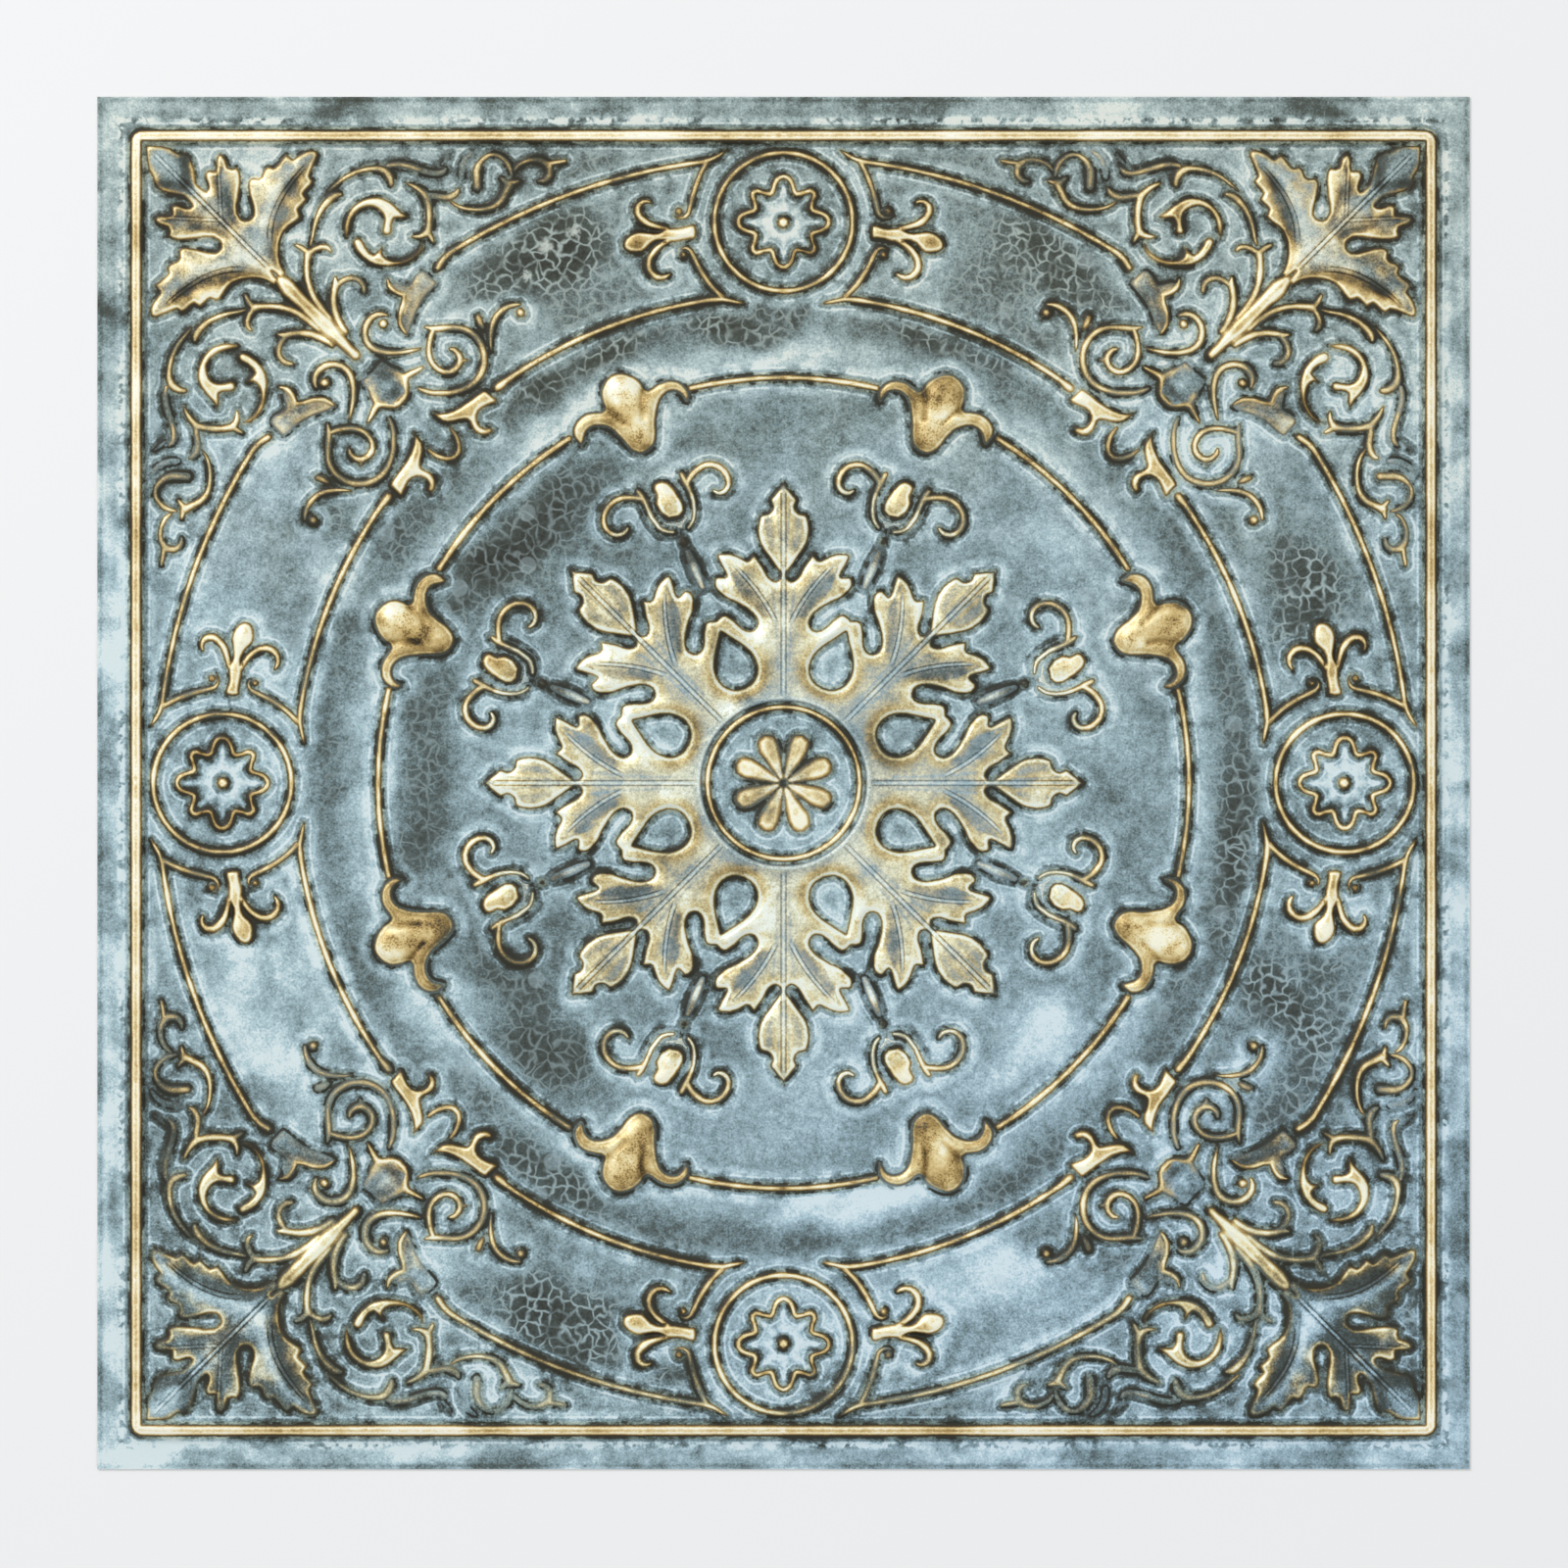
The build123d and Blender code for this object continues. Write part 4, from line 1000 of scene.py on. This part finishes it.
class Graph:
    """Short names for the nodes that a finish is made of."""

    def __init__(self, name):
        self.mat = bpy.data.materials.new(name)
        self.mat.use_nodes = True
        self.t = self.mat.node_tree
        self.t.nodes.clear()

    def node(self, kind, **settings):
        n = self.t.nodes.new(kind)
        for k, v in settings.items():
            setattr(n, k, v)
        return n

    def plug(self, value, socket):
        if hasattr(value, "is_output"):
            self.t.links.new(value, socket)
        else:
            socket.default_value = value

    def math(self, op, a, b=None, c=None, clamp=False):
        n = self.node("ShaderNodeMath", operation=op, use_clamp=clamp)
        self.plug(a, n.inputs[0])
        if b is not None:
            self.plug(b, n.inputs[1])
        if c is not None:
            self.plug(c, n.inputs[2])
        return n.outputs[0]

    def add(self, a, b): return self.math("ADD", a, b)
    def mul(self, a, b): return self.math("MULTIPLY", a, b)
    def sub(self, a, b): return self.math("SUBTRACT", a, b)

    def step(self, x, lo, hi, out_lo=0.0, out_hi=1.0):
        """Smooth step of x from lo to hi."""
        n = self.node("ShaderNodeMapRange", interpolation_type="SMOOTHSTEP")
        self.plug(x, n.inputs["Value"])
        n.inputs["From Min"].default_value, n.inputs["From Max"].default_value = min(lo, hi), max(lo, hi)
        if lo > hi:
            out_lo, out_hi = out_hi, out_lo
        n.inputs["To Min"].default_value, n.inputs["To Max"].default_value = out_lo, out_hi
        return n.outputs["Result"]

    def mix_value(self, fac, x, y):
        return self.add(x, self.mul(fac, self.sub(y, x)))

    def bump_at(self, x, mid, half):
        """1 at mid, falling smoothly to 0 at half away."""
        d = self.math("ABSOLUTE", self.sub(x, mid))
        return self.step(d, half, 0.0)

    def mix(self, fac, a, b, mode="MIX"):
        n = self.node("ShaderNodeMix", data_type="RGBA", blend_type=mode, clamp_factor=True)
        self.plug(fac, n.inputs[0])
        self.plug(a, n.inputs[6])
        self.plug(b, n.inputs[7])
        return n.outputs[2]

    def noise(self, vec, scale, detail=4.0, rough=0.55, distort=0.0, seed=0.0):
        n = self.node("ShaderNodeTexNoise", noise_dimensions="3D")
        v = self.vec("ADD", vec, (seed * 13.7, seed * 7.3, seed * 3.1)) if seed else vec
        self.plug(v, n.inputs["Vector"])
        n.inputs["Scale"].default_value = scale
        n.inputs["Detail"].default_value = detail
        n.inputs["Roughness"].default_value = rough
        n.inputs["Distortion"].default_value = distort
        return n.outputs["Fac"]

    def vec(self, op, a, b=None, scale=None):
        n = self.node("ShaderNodeVectorMath", operation=op)
        self.plug(a, n.inputs[0])
        if b is not None:
            self.plug(b, n.inputs[1])
        if scale is not None:
            self.plug(scale, n.inputs["Scale"])
        return n.outputs["Value"] if op in ("DISTANCE", "LENGTH", "DOT_PRODUCT") else n.outputs["Vector"]

    def attribute(self, name):
        return self.node("ShaderNodeAttribute", attribute_name=name).outputs["Fac"]


def painted_face():
    g = Graph("antiqued_wash_and_gilding")
    pos = g.node("ShaderNodeTexCoord").outputs["Object"]
    p = g.vec("SCALE", pos, scale=1.0 / PX)            # picture pixels from the middle
    sep = g.node("ShaderNodeSeparateXYZ")
    g.plug(p, sep.inputs[0])
    x, y = sep.outputs[0], sep.outputs[1]
    m = g.math("MAXIMUM", g.math("ABSOLUTE", x), g.math("ABSOLUTE", y))
    R = g.math("SQRT", g.add(g.mul(x, x), g.mul(y, y)))
    D = g.attribute("outline")
    # folded onto half a leaf of the rosette: u along its rib, v sideways
    turn = g.math("ARCTAN2", y, x)
    fold = g.math("PINGPONG", turn, math.pi / 8)
    u = g.mul(R, g.math("COSINE", fold))
    v = g.mul(R, g.math("SINE", fold))
    # folded onto half a corner: a is the smaller and b the larger distance from the axes
    b = m
    a = g.math("MINIMUM", g.math("ABSOLUTE", x), g.math("ABSOLUTE", y))
    gild = g.attribute("gild")
    # tone carries painted shade and highlight laid over the relief, together with the dark glaze of the finish
    tone = g.attribute("tone")

    def centred(n, k):
        return g.mul(g.sub(n, 0.5), k)

    mid = g.noise(p, 1 / 34.0, 1.0, 0.6, 0.3, seed=2)
    small = g.noise(p, 1 / 13.0, 2.0, 0.75, 0.2, seed=3)
    fine = g.noise(p, 1 / 4.2, 1.0, 0.8, 0.0, seed=4)
    grit = g.noise(p, 1 / 1.9, 0.0, 0.5, 0.0, seed=5)
    run = g.noise(p, 1 / 20.0, 1.0, 0.55, 0.0, seed=8)
    long = g.noise(p, 1 / 75.0, 1.0, 0.5, 0.0, seed=9)
    cloud = g.attribute("cloud")

    D = g.add(D, g.add(centred(small, 1.3), centred(fine, 1.1)))    # edges of the finish wander a little
    texture = g.add(centred(small, 1.05), g.add(centred(fine, 0.85), centred(grit, 0.75)))
    lum = g.add(g.mul(cloud, 1.1), g.add(centred(mid, 0.85), g.add(texture, tone)))

    # light and shade painted to follow the relief: a painted highlight in a band outside the field ring, painted shade
    # in the cove, and darker towards the corners
    inside = g.step(m, 655.0, 645.0)
    lum = g.add(lum, g.mul(g.bump_at(R, 434.0, 24.0), 0.34))
    lum = g.sub(lum, g.mul(g.bump_at(R, 470.0, 26.0), 0.30))
    lum = g.sub(lum, g.mul(g.mul(g.step(R, 600.0, 700.0), inside), 0.12))
    # painted highlight: a broken pale halo a little way outside every outline, and a thinner pale line closer in
    painted_halo = g.mul(g.bump_at(D, 10.0, 7.0), g.step(run, 0.34, 0.62, 0.25, 1.0))
    lum = g.add(lum, g.mul(painted_halo, 0.54))
    pale = g.mul(g.bump_at(D, 6.4, 2.1), g.step(g.add(small, centred(mid, 0.8)), 0.34, 0.56))
    lum = g.add(lum, g.mul(pale, 0.70))
    leaf = g.mul(g.mul(g.step(R, 312.0, 306.0), g.step(R, 83.0, 86.0)), g.step(D, 0.0, -2.0))
    lum = g.add(lum, g.mul(leaf, 0.45))
    margin = g.step(m, 668.0, 676.0)
    lum = g.add(lum, g.mul(margin, 0.34))
    lum = g.sub(lum, g.mul(g.bump_at(m, 696.5, 4.0), 0.35))
    lum = g.add(lum, g.mul(g.add(centred(long, 2.2), centred(mid, 0.5)), margin))
    lower = g.mul(g.step(y, -300.0, -470.0), g.mul(g.step(R, 540.0, 640.0), inside))   # the lower corners are darker, less gilded
    lobed = g.mul(g.step(g.add(a, b), 1050.0, 1064.0), g.step(D, -2.0, -6.0))
    lum = g.add(lum, g.mul(lower, g.add(g.add(g.mul(lum, 0.22), g.mul(tone, 0.10)), -0.04)))
    lum = g.add(lum, g.mul(g.mul(lower, lobed), g.add(g.mul(g.math("ABSOLUTE", tone), 0.75), 0.10)))
    lum = g.sub(lum, 0.02)
    lum = g.math("MAXIMUM", lum, g.add(g.mul(g.add(lum, 0.55), 0.45), -0.55))
    # a worn, speckled edge runs along the outer side of the roll
    rub = g.mul(g.bump_at(m, 676.0, 5.0), g.step(small, 0.44, 0.56, -0.75, 0.55))
    lum = g.add(lum, g.mul(rub, g.step(long, 0.36, 0.56)))

    # dark glaze settled along the foot of every raised form
    line_keep = g.step(g.add(run, g.add(centred(mid, 0.9), centred(small, 0.9))), 0.20, 0.68, 1.26, -0.04)
    line = g.mul(g.mul(g.step(D, -1.5, 0.0), g.step(D, 2.8, 1.3)), 1.15)
    line = g.add(line, g.mul(g.mul(g.step(D, -1.0, 1.0), g.step(D, 7.0, 1.5)), 0.34))
    line = g.mul(line, g.step(R, 6.0, 30.0, 0.30, 1.0))
    line = g.mul(line, g.sub(1.0, g.mul(g.bump_at(R, 82.5, 7.0), 0.55)))
    line = g.mul(line, g.sub(1.0, g.mul(g.mul(g.step(m, 644.0, 650.0), g.step(m, 676.0, 670.0)), 0.45)))
    lum = g.sub(lum, g.mul(line, line_keep))

    # fine lines of the leaves, painted: each rib is a painted highlight along its ridge between two dark lines
    def painted_rib(d, window, width=1.0):
        pale = g.mul(g.bump_at(d, 0.0, 1.5 * width), 0.30)
        dark = g.mul(g.bump_at(g.math("ABSOLUTE", d), 2.5 * width, 1.3 * width), -0.62)
        return g.mul(g.add(pale, dark), window)

    def curve(t, t0, c0, c1, c2, t1):
        """c0 + c1 (t - t0) + c2 (t - t0)(t - t1)"""
        s = g.sub(t, t0)
        return g.add(c0, g.add(g.mul(s, c1), g.mul(g.mul(s, g.sub(t, t1)), c2)))

    ribs = painted_rib(v, g.mul(g.step(u, 86.0, 96.0), g.step(u, 302.0, 290.0)))
    side = g.mul(g.sub(v, curve(u, 166.0, 9.0, 0.583, 0.004875, 190.0)), 0.80)
    ribs = g.add(ribs, painted_rib(side, g.mul(g.step(u, 160.0, 170.0), g.step(u, 224.0, 214.0)), 0.85))
    ribs = g.mul(ribs, leaf)
    corner = g.mul(g.step(g.add(a, b), 1050.0, 1064.0), g.step(D, 0.0, -2.0))
    mid_rib = g.mul(g.sub(b, a), 0.707)
    veins = painted_rib(mid_rib, g.step(g.add(a, b), 1290.0, 1270.0), 0.9)
    lobe = g.mul(g.sub(a, curve(b, 560.0, 523.6, -0.294, -0.00666, 594.0)), 0.9)
    veins = g.add(veins, painted_rib(lobe, g.mul(g.step(b, 548.0, 562.0), g.step(a, 484.0, 494.0)), 0.9))
    lobe = g.sub(a, curve(b, 566.0, 573.0, 0.05, 0.0, 600.0))
    veins = g.add(veins, g.mul(painted_rib(lobe, g.mul(g.step(b, 570.0, 582.0), g.step(b, 634.0, 620.0)), 0.8), 0.7))
    veins = g.mul(veins, corner)
    painted_rib_lines = g.add(ribs, veins)
    lum = g.add(lum, painted_rib_lines)

    def colours(fac, stops):
        n = g.node("ShaderNodeValToRGB")
        n.color_ramp.interpolation = "LINEAR"
        while len(n.color_ramp.elements) < len(stops):
            n.color_ramp.elements.new(0.5)
        for e, (at, c) in zip(n.color_ramp.elements, stops):
            e.position = at
            e.color = rgb(*c)
        g.plug(fac, n.inputs["Fac"])
        return n.outputs["Color"]

    wash = colours(g.add(g.mul(lum, 0.5), 0.5), [
        (0.0, (40, 43, 36)), (0.15, (63, 72, 67)), (0.30, (90, 106, 108)), (0.44, (116, 138, 142)),
        (0.56, (138, 161, 168)), (0.70, (160, 184, 192)), (0.85, (184, 208, 214)), (1.0, (214, 228, 230))])

    # crackle: pale veins between small cells, strongest where the wash is dark
    warp = g.node("ShaderNodeTexNoise", noise_dimensions="2D")
    g.plug(p, warp.inputs["Vector"])
    warp.inputs["Scale"].default_value = 1 / 16.0
    warp.inputs["Detail"].default_value = 1.0
    vor = g.node("ShaderNodeTexVoronoi", feature="DISTANCE_TO_EDGE", voronoi_dimensions="2D")
    g.plug(g.vec("ADD", p, g.vec("SCALE", g.vec("SUBTRACT", warp.outputs["Color"], (0.5, 0.5, 0.5)), scale=14.0)), vor.inputs["Vector"])
    vor.inputs["Scale"].default_value = 1 / 12.5
    vein = g.step(g.add(vor.outputs["Distance"], centred(fine, 0.14)), 0.19, -0.02)
    vein = g.mul(vein, g.step(g.add(run, centred(small, 0.7)), 0.24, 0.62, 0.20, 1.0))
    vein = g.mul(vein, g.step(g.add(cloud, centred(small, 0.6)), 0.25, -0.55, 0.05, 1.0))
    vein = g.mul(vein, g.mul(g.step(D, 6.0, 13.0), g.mul(inside, g.step(R, 360.0, 520.0, 0.45, 1.0))))
    wash = g.mix(vein, wash, rgb(158, 178, 180))
    # a few pale round drops
    drops = g.node("ShaderNodeTexVoronoi", feature="F1", voronoi_dimensions="2D")
    g.plug(p, drops.inputs["Vector"])
    drops.inputs["Scale"].default_value = 1 / 78.0
    pick = g.node("ShaderNodeSeparateColor")
    g.plug(drops.outputs["Color"], pick.inputs[0])
    drop = g.mul(g.step(drops.outputs["Distance"], 0.125, 0.10), g.math("GREATER_THAN", pick.outputs[0], 0.62))
    wash = g.mix(g.mul(drop, g.mul(g.step(D, 2.0, 8.0), 0.26)), wash, rgb(176, 198, 204))
    for sx, sy, size in ((-243.0, 547.0, 11.0), (-213.0, 563.0, 8.0), (-262.0, 517.0, 7.0)):
        far = g.math("SQRT", g.add(g.math("POWER", g.sub(x, sx), 2.0), g.math("POWER", g.sub(y, sy), 2.0)))
        splash = g.step(g.add(far, centred(fine, 12.0)), size, 1.0)
        wash = g.mix(g.mul(splash, 0.8), wash, rgb(190, 206, 206))
    # the upper part of the wash is greyer, the lower right bluer
    warm = g.step(g.add(y, centred(long, 500.0)), 60.0, 640.0)
    cool = g.mul(g.step(y, 100.0, -500.0), g.step(g.add(x, centred(long, 400.0)), -500.0, 500.0))
    tint = g.mix(cool, g.mix(warm, (1.0, 1.0, 1.0, 1.0), (1.10, 1.0, 0.90, 1.0)), (0.95, 0.99, 1.06, 1.0))
    wash = g.vec("MULTIPLY", wash, tint)
    umber = g.mul(g.mul(g.step(D, 4.0, 1.0), g.step(gild, 0.30, 0.70)), 0.85)         # glaze against gold is browner
    wash = g.vec("MULTIPLY", wash, g.mix(umber, (1.0, 1.0, 1.0, 1.0), (1.16, 1.0, 0.74, 1.0)))

    # gilding, rubbed over whatever stands proud, and worn off again in places
    roll = g.mul(g.step(m, 648.0, 651.0), g.step(m, 672.0, 669.0))
    calm = g.sub(1.0, g.mul(leaf, 0.62))
    wear = g.mul(g.add(centred(mid, 1.3), centred(run, 1.1)), g.mul(calm, g.sub(1.0, g.mul(roll, 0.7))))
    wear = g.add(wear, g.mul(centred(long, 1.1), g.sub(1.0, g.mul(leaf, 0.3))))
    wear = g.add(wear, g.mul(centred(mid, 0.8), leaf))
    speck = g.add(centred(small, 0.5), g.add(centred(fine, 0.55), centred(grit, 0.35)))
    # the gold runs brighter towards each crest and ends there in a painted highlight
    top = g.step(D, -0.2, -3.9)
    gl = g.add(g.mul(top, 0.62), g.mul(gild, 0.20))
    gl = g.add(gl, g.add(g.mul(g.add(tone, painted_rib_lines), 0.55), -0.06))
    gl = g.add(gl, g.add(g.mul(wear, 0.60), g.mul(speck, g.add(0.42, g.mul(leaf, 0.25)))))
    gl = g.add(gl, g.mul(cloud, 0.10))
    gl = g.add(gl, g.mul(g.bump_at(D, -3.8, 3.0), g.mul(leaf, 0.26)))
    # painted highlight along the crest of each gilded strand, which also rings the clasps
    gl = g.add(gl, g.mul(g.bump_at(D, -4.2, 2.0), g.mul(g.step(gild, 0.45, 0.80), g.mul(g.sub(1.0, leaf), 0.24))))
    deep = g.mul(g.step(D, -5.5, -13.0), g.sub(1.0, leaf))
    gl = g.add(gl, g.mul(deep, g.sub(g.step(g.add(run, centred(grit, 1.0)), 0.24, 0.44, -0.16, 0.0), 0.03)))
    gl = g.add(gl, g.step(R, 30.0, 6.0, 0.0, 0.40))
    gl = g.sub(gl, g.add(g.mul(roll, 0.01), g.mul(lower, 0.04)))
    gl = g.sub(gl, g.mul(g.mul(roll, g.step(m, 660.0, 667.0)), 0.16))
    gl = g.add(g.mul(gl, 1.16), g.add(-0.145, g.mul(leaf, 0.075)))
    gold = colours(gl, [
        (0.0, (50, 42, 24)), (0.14, (86, 68, 34)), (0.30, (130, 103, 54)), (0.48, (176, 145, 85)),
        (0.66, (217, 188, 124)), (0.84, (245, 227, 172)), (1.0, (255, 248, 218))])
    worn = g.add(gild, g.add(g.mul(wear, 0.55), g.mul(speck, g.add(0.55, g.mul(leaf, 0.30)))))
    worn = g.sub(worn, g.mul(lower, 0.25))
    mask = g.mul(g.step(D, 0.9, -1.2), g.mix_value(leaf, g.step(worn, 0.04, 0.82), g.step(worn, -0.16, 0.90)))
    # thinner, cooler gilding on the rosette and in the lower corners
    thin = g.mix(roll, (0.97, 1.01, 1.08, 1.0), (0.975, 1.01, 1.15, 1.0))
    thin = g.mix(lower, g.mix(leaf, thin, (0.91, 1.02, 1.22, 1.0)), (0.94, 1.01, 1.10, 1.0))
    colour = g.mix(mask, wash, g.vec("MULTIPLY", gold, thin))

    bsdf = g.node("ShaderNodeBsdfPrincipled")
    g.plug(colour, bsdf.inputs["Base Color"])
    g.plug(g.mul(mask, 0.25), bsdf.inputs["Metallic"])
    g.plug(g.add(g.mul(mask, -0.12), g.add(0.56, centred(fine, 0.3))), bsdf.inputs["Roughness"])
    bsdf.inputs["Specular IOR Level"].default_value = 0.35
    bump = g.node("ShaderNodeBump")
    bump.inputs["Strength"].default_value = 0.40
    bump.inputs["Distance"].default_value = 0.0005
    g.plug(g.add(g.mul(fine, 0.6), g.mul(grit, 0.4)), bump.inputs["Height"])
    g.plug(bump.outputs[0], bsdf.inputs["Normal"])
    out = g.node("ShaderNodeOutputMaterial")
    g.plug(bsdf.outputs[0], out.inputs[0])
    return g.mat


def bare_back():
    g = Graph("bare_sheet_back")
    pos = g.node("ShaderNodeTexCoord").outputs["Object"]
    p = g.vec("SCALE", pos, scale=1.0 / PX)
    haze = g.noise(p, 1 / 120.0, 3.0, 0.55, 0.3, seed=6)
    grain = g.noise(p, 1 / 3.0, 3.0, 0.6, 0.0, seed=7)
    colour = g.mix(g.step(haze, 0.35, 0.65), rgb(214, 214, 208), rgb(226, 226, 221))
    bsdf = g.node("ShaderNodeBsdfPrincipled")
    g.plug(colour, bsdf.inputs["Base Color"])
    g.plug(g.add(0.42, g.mul(grain, 0.14)), bsdf.inputs["Roughness"])
    bump = g.node("ShaderNodeBump")
    bump.inputs["Strength"].default_value = 0.2
    bump.inputs["Distance"].default_value = 0.0002
    g.plug(grain, bump.inputs["Height"])
    g.plug(bump.outputs[0], bsdf.inputs["Normal"])
    out = g.node("ShaderNodeOutputMaterial")
    g.plug(bsdf.outputs[0], out.inputs[0])
    return g.mat


tile.data.materials.append(painted_face())
tile.data.materials.append(bare_back())
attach(tile, "root")
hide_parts("ceiling_tile")


# ---------------------------------------------------------------------------------------------
# Floor, light and camera
# ---------------------------------------------------------------------------------------------
def floor():
    n, half = 8, 6.0
    c = np.linspace(-half, half, n + 1)
    v = [(x, y, 0.0) for y in c for x in c]
    f = [(j * (n + 1) + i, j * (n + 1) + i + 1, (j + 1) * (n + 1) + i + 1, (j + 1) * (n + 1) + i)
         for j in range(n) for i in range(n)]
    mesh = bpy.data.meshes.new("floor")
    mesh.from_pydata(v, [], f)
    ob = bpy.data.objects.new("floor", mesh)
    ob.location.z = -0.0002
    bpy.context.scene.collection.objects.link(ob)
    g = Graph("pale_floor")
    bsdf = g.node("ShaderNodeBsdfPrincipled")
    bsdf.inputs["Base Color"].default_value = rgb(240, 240, 240)
    bsdf.inputs["Roughness"].default_value = 0.8
    bsdf.inputs["Specular IOR Level"].default_value = 0.1
    out = g.node("ShaderNodeOutputMaterial")
    g.plug(bsdf.outputs[0], out.inputs[0])
    mesh.materials.append(g.mat)
    return ob


floor()

world = bpy.data.worlds.new("studio")
world.use_nodes = True
world.node_tree.nodes["Background"].inputs[0].default_value = (0.97, 0.985, 1.0, 1.0)
world.node_tree.nodes["Background"].inputs[1].default_value = 0.70
bpy.context.scene.world = world


def lamp(name, where, size, power, colour=(1.0, 1.0, 1.0)):
    data = bpy.data.lights.new(name, "AREA")
    data.shape = "SQUARE"
    data.size = size
    data.energy = power
    data.color = colour
    ob = bpy.data.objects.new(name, data)
    ob.location = where
    d = np.array(where)
    ob.rotation_euler = (math.atan2(math.hypot(d[0], d[1]), d[2]), 0.0, math.atan2(d[1], d[0]) + math.pi / 2)
    bpy.context.scene.collection.objects.link(ob)
    return ob


lamp("key_light", (-2.2, 2.2, 2.6), 1.6, 66.0)
lamp("fill_light", (2.4, -1.2, 3.0), 2.4, 14.0)

cam_data = bpy.data.cameras.new("camera")
cam = bpy.data.objects.new("camera", cam_data)
bpy.context.scene.collection.objects.link(cam)
DISTANCE = 3.2
cam_data.sensor_width = 36.0
cam_data.lens = 36.0 * DISTANCE / (1600 * PX)
cam_data.clip_start, cam_data.clip_end = 0.05, 60.0
cam.location = (0.5 * PX, -1.0 * PX, DISTANCE)
bpy.context.scene.camera = cam
bpy.context.scene.view_settings.view_transform = "Standard"
